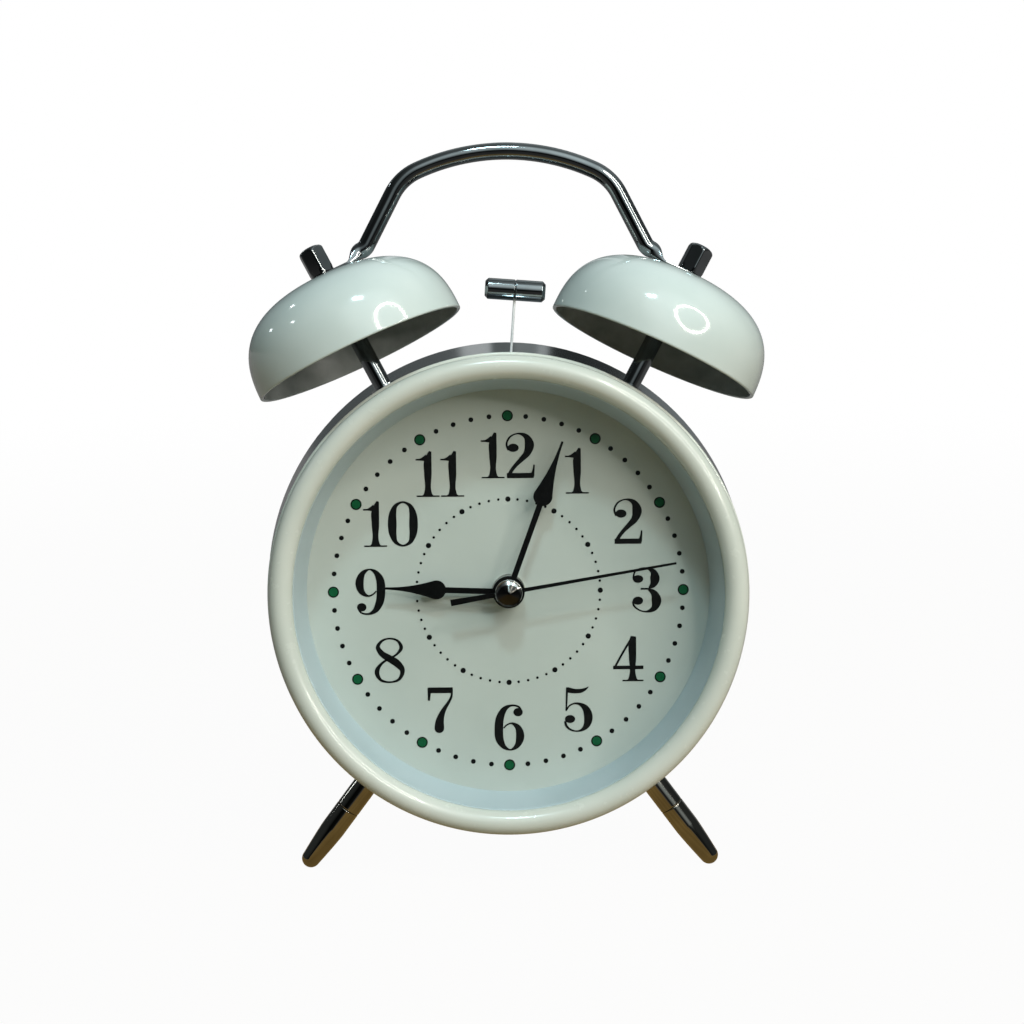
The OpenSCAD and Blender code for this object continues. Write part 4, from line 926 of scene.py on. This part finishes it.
def paleFloor():
    # Matt white paper that keeps a soft shadow
    s = stageSize
    mat, tree, shader, coords = started("white_paper", {})
    tree.nodes.remove(shader)
    path = add(tree, "LightPath").outputs
    looked = add(tree, "Math", [path["Is Camera Ray"], path["Is Transmission Ray"]], operation="MAXIMUM")
    seen = add(tree, "Math", [looked, path["Is Glossy Ray"]], operation="MAXIMUM")
    far = add(tree, "VectorMath", [coords], operation="LENGTH").outputs["Value"]
    clean = add(tree, "MapRange", [far, s["nearShadow"], s["farShadow"], s["glow"], 1.0], **eased)
    share = add(tree, "Math", [seen, clean], operation="MULTIPLY")
    along = add(tree, "Mapping", {"Vector": coords, "Scale": (0.15, 1, 1)})
    grain = add(tree, "TexNoise", {"Vector": along, "Scale": perMetre(s["warmGrain"]), "Detail": 6.0})
    warm = add(tree, "ValToRGB", [grain], [(0.3, linear(s["warmDark"])), (0.7, linear(s["warm"]))])
    off = add(tree, "VectorMath", [coords, (0, s["warmAt"], 0)], operation="DISTANCE").outputs["Value"]
    edge = add(tree, "MapRange", [off, s["warmEdge"] / 2, s["warmEdge"]], **eased)
    depth = add(tree, "SeparateXYZ", [coords]).outputs["Y"]
    beyond = add(tree, "MapRange", [depth, s["frontEdge"], 0.0, s["front"], s["side"]], **eased)
    mirrored = add(tree, "Mix", {0: edge, 6: warm, 7: beyond}, data_type="RGBA").outputs[2]
    colour = add(tree, "Mix", {0: looked, 6: mirrored, 7: grey(1.0)}, data_type="RGBA").outputs[2]
    matt = add(tree, "BsdfDiffuse", [linear(s["paper"])])
    glow = add(tree, "Emission", [colour])
    mix = add(tree, "MixShader", [share, matt, glow])
    plug(tree, tree.nodes["Material Output"], {"Surface": mix})
    return mat


def staged(name, points, faces, material):  # a mesh that belongs to the stage
    mesh = bpy.data.meshes.new(name)
    mesh.from_pydata(points, [], faces)
    mesh.materials.append(material)
    made = bpy.data.objects.new(name, mesh)
    bpy.context.scene.collection.objects.link(made)


half = stageSize["floor"] / 2
staged("floor", [(-half, -half, 0), (half, -half, 0), (half, half, 0), (-half, half, 0)], [(0, 1, 2, 3)],
       paleFloor())

# Room: a dim ceiling, darker on the left, a soft glow from the front and a weaker one from behind.
# Each pair is where a glow starts and where it is full, by the height, side or depth of a direction.
roomSize = dict(dark=0.02, ceiling=0.4, ceilingZ=(0.34, 0.8), leftShare=0.12, leftX=(-0.7, 0.3),
                soft=1.3, softAt=(22, 42), softness=0.78, rear=0.3, rearY=(0.2, 0.8), rearZ=(0.3, 0.7),
                side=0.05, sideX=(0.5, 0.9), flagsX=0.2, flagsY=(0.5, 0.75), shade="#e6f3f5")
# Backdrop between dark flags that metal mirrors: places from left to right, each with its brightness
flagLevels = [(0.0, 0.1), (0.33, 0.13), (0.36, 0.5), (0.455, 0.5), (0.47, 0.13), (0.545, 0.15), (0.56, 0.24),
              (0.635, 0.22), (0.65, 0.42), (0.675, 0.42), (0.69, 0.03), (0.95, 0.04), (1.0, 0.2)]


def towards(azimuth, height):  # direction of a light: degrees to the right of the camera's side, degrees up
    a, h = math.radians(azimuth), math.radians(height)
    return np.array([math.sin(a) * math.cos(h), -math.cos(a) * math.cos(h), math.sin(h)])


def studioRoom():
    r = roomSize
    world = bpy.data.worlds.new("studio")
    world.use_nodes = True
    sky = world.node_tree
    direction = add(sky, "TexCoord").outputs["Generated"]
    way = add(sky, "SeparateXYZ", [direction]).outputs
    path = add(sky, "LightPath").outputs
    high = add(sky, "MapRange", [way["Z"], *r["ceilingZ"], r["dark"], r["ceiling"]], **eased)
    left = add(sky, "MapRange", [way["X"], *r["leftX"], r["leftShare"], 1.0], **eased)
    ceiling = add(sky, "Math", [high, left], operation="MULTIPLY")
    behind = add(sky, "MapRange", [way["Y"], *r["rearY"]], **eased)
    above = add(sky, "MapRange", [way["Z"], *r["rearZ"], 0.0, r["rear"]], **eased)
    rear = add(sky, "Math", [behind, above], operation="MULTIPLY")
    near = add(sky, "VectorMath", [direction, towards(*r["softAt"])], operation="DOT_PRODUCT")
    soft = add(sky, "MapRange", [near.outputs["Value"], r["softness"], 1.0, 0.0, r["soft"]], **eased)
    room = add(sky, "Math", [ceiling, rear], operation="ADD")
    room = add(sky, "Math", [room, soft], operation="ADD")
    place = add(sky, "MapRange", [way["X"], -r["flagsX"], r["flagsX"]])
    flags = add(sky, "ValToRGB", [place], [(x, grey(bright)) for x, bright in flagLevels])
    opposite = add(sky, "MapRange", [way["Y"], *r["flagsY"]], **eased)
    flags = add(sky, "Math", [opposite, flags], operation="MULTIPLY")
    aside = add(sky, "Math", [way["X"]], operation="ABSOLUTE")
    aside = add(sky, "MapRange", [aside, *r["sideX"], 0.0, r["side"]], **eased)
    mirrored = add(sky, "Math", [flags, aside], operation="MAXIMUM")
    mirrored = add(sky, "Math", [path["Is Glossy Ray"], mirrored], operation="MULTIPLY")
    looked = add(sky, "Math", [path["Is Camera Ray"], path["Is Transmission Ray"]], operation="MAXIMUM")
    level = add(sky, "Math", [room, mirrored], operation="MAXIMUM")
    level = add(sky, "Mix", {0: looked, 2: level, 3: 1.0}, data_type="FLOAT")
    plain = add(sky, "Math", [looked, mirrored], operation="MAXIMUM")
    tint = add(sky, "ValToRGB", [plain], [(0.0, linear(r["shade"])), (1.0, grey(1.0))])
    plug(sky, sky.nodes["Background"], {"Color": tint, "Strength": level})
    return world


bpy.context.scene.world = studioRoom()

# Lamps: degrees to the right and up as seen from the clock, metres away, size in metres, power or strength
aim = np.array([0, 0, 0.075])
overheadLamp = dict(azimuth=-4, height=63, power=2.0, distance=0.9, size=(0.13, 0.08),
                    colour=(0.65, 0.92, 1.0))
sideLamps = dict(distance=1.4, size=(0.09, 0.05), colour=(0.9, 0.97, 1.0))
sideLampPlaces = ((-119, 37, 0.25), (-83, 30, 0.25), (-112, 18, 0.15))
ringLamp = dict(azimuth=42, height=34, distance=0.8, radius=0.225, band=0.03, strength=31.0,
                colour=(1.0, 0.95, 0.87, 1.0), steps=96)


def facing(away):  # a turn whose z axis points along away
    side = np.cross([0, 0, 1], away)
    side = side / np.linalg.norm(side)
    return np.stack([side, np.cross(away, side), away], 1)


def hangLamp(name, azimuth, height, power, distance, size, colour):
    data = bpy.data.lights.new(name, "AREA")
    data.shape = "RECTANGLE"
    data.size, data.size_y = size
    data.energy = power
    data.color = colour
    made = bpy.data.objects.new(name, data)
    bpy.context.scene.collection.objects.link(made)
    away = towards(azimuth, height)
    made.matrix_world = Matrix.Translation(aim + distance * away) @ Matrix(facing(away).tolist()).to_4x4()


def hangRing():
    # a flat ring that glows, drawn about z and turned to face the clock
    s = ringLamp
    turn = fullTurn(s["steps"])
    circle = np.stack([np.cos(turn), np.sin(turn), 0 * turn], 1)
    points = np.concatenate([circle * (s["radius"] - s["band"] / 2), circle * (s["radius"] + s["band"] / 2)])
    away = towards(s["azimuth"], s["height"])
    points = aim + s["distance"] * away + points @ facing(away).T
    mat, tree, shader, _ = started("lamp_tube", {})
    tree.nodes.remove(shader)
    glow = add(tree, "Emission", [s["colour"], s["strength"]])
    plug(tree, tree.nodes["Material Output"], {"Surface": glow})
    staged("ring_lamp", points.tolist(), gridFaces(2, s["steps"], False, True).tolist(), mat)


hangLamp("overhead", **overheadLamp)
hangRing()
for azimuth, height, power in sideLampPlaces:
    hangLamp("side", azimuth, height, power, **sideLamps)

# Camera: its place in the clock's own axes, and lengths in pixels of the picture
cameraSize = dict(place=(-3.4, -366.0, 30.2), focal=1684.0, dialPixel=(493.0, 458.0), image=1024.0, roll=0.38)


def setCamera():
    s = cameraSize
    offset = (np.array(s["dialPixel"]) - s["image"] / 2) / s["focal"]
    look = across * -offset[0] + back + up * offset[1]
    look = (look / np.linalg.norm(look)) @ ownAxes
    right = np.cross(look, upAxis)
    right = right / np.linalg.norm(right)
    roll = math.radians(s["roll"])
    right = right * math.cos(roll) - np.cross(right, look) * math.sin(roll)
    turn = np.stack([right, np.cross(right, look), -look], 1)
    view = bpy.data.cameras.new("camera")
    view.lens = s["focal"] / s["image"] * view.sensor_width
    camera = bpy.data.objects.new("camera", view)
    bpy.context.scene.collection.objects.link(camera)
    place = Matrix.Translation(stand(np.array(s["place"])).tolist())
    camera.matrix_world = place @ Matrix(turn.tolist()).to_4x4()
    bpy.context.scene.camera = camera


setCamera()
bpy.context.scene.view_settings.view_transform = "Standard"
print("stage set")
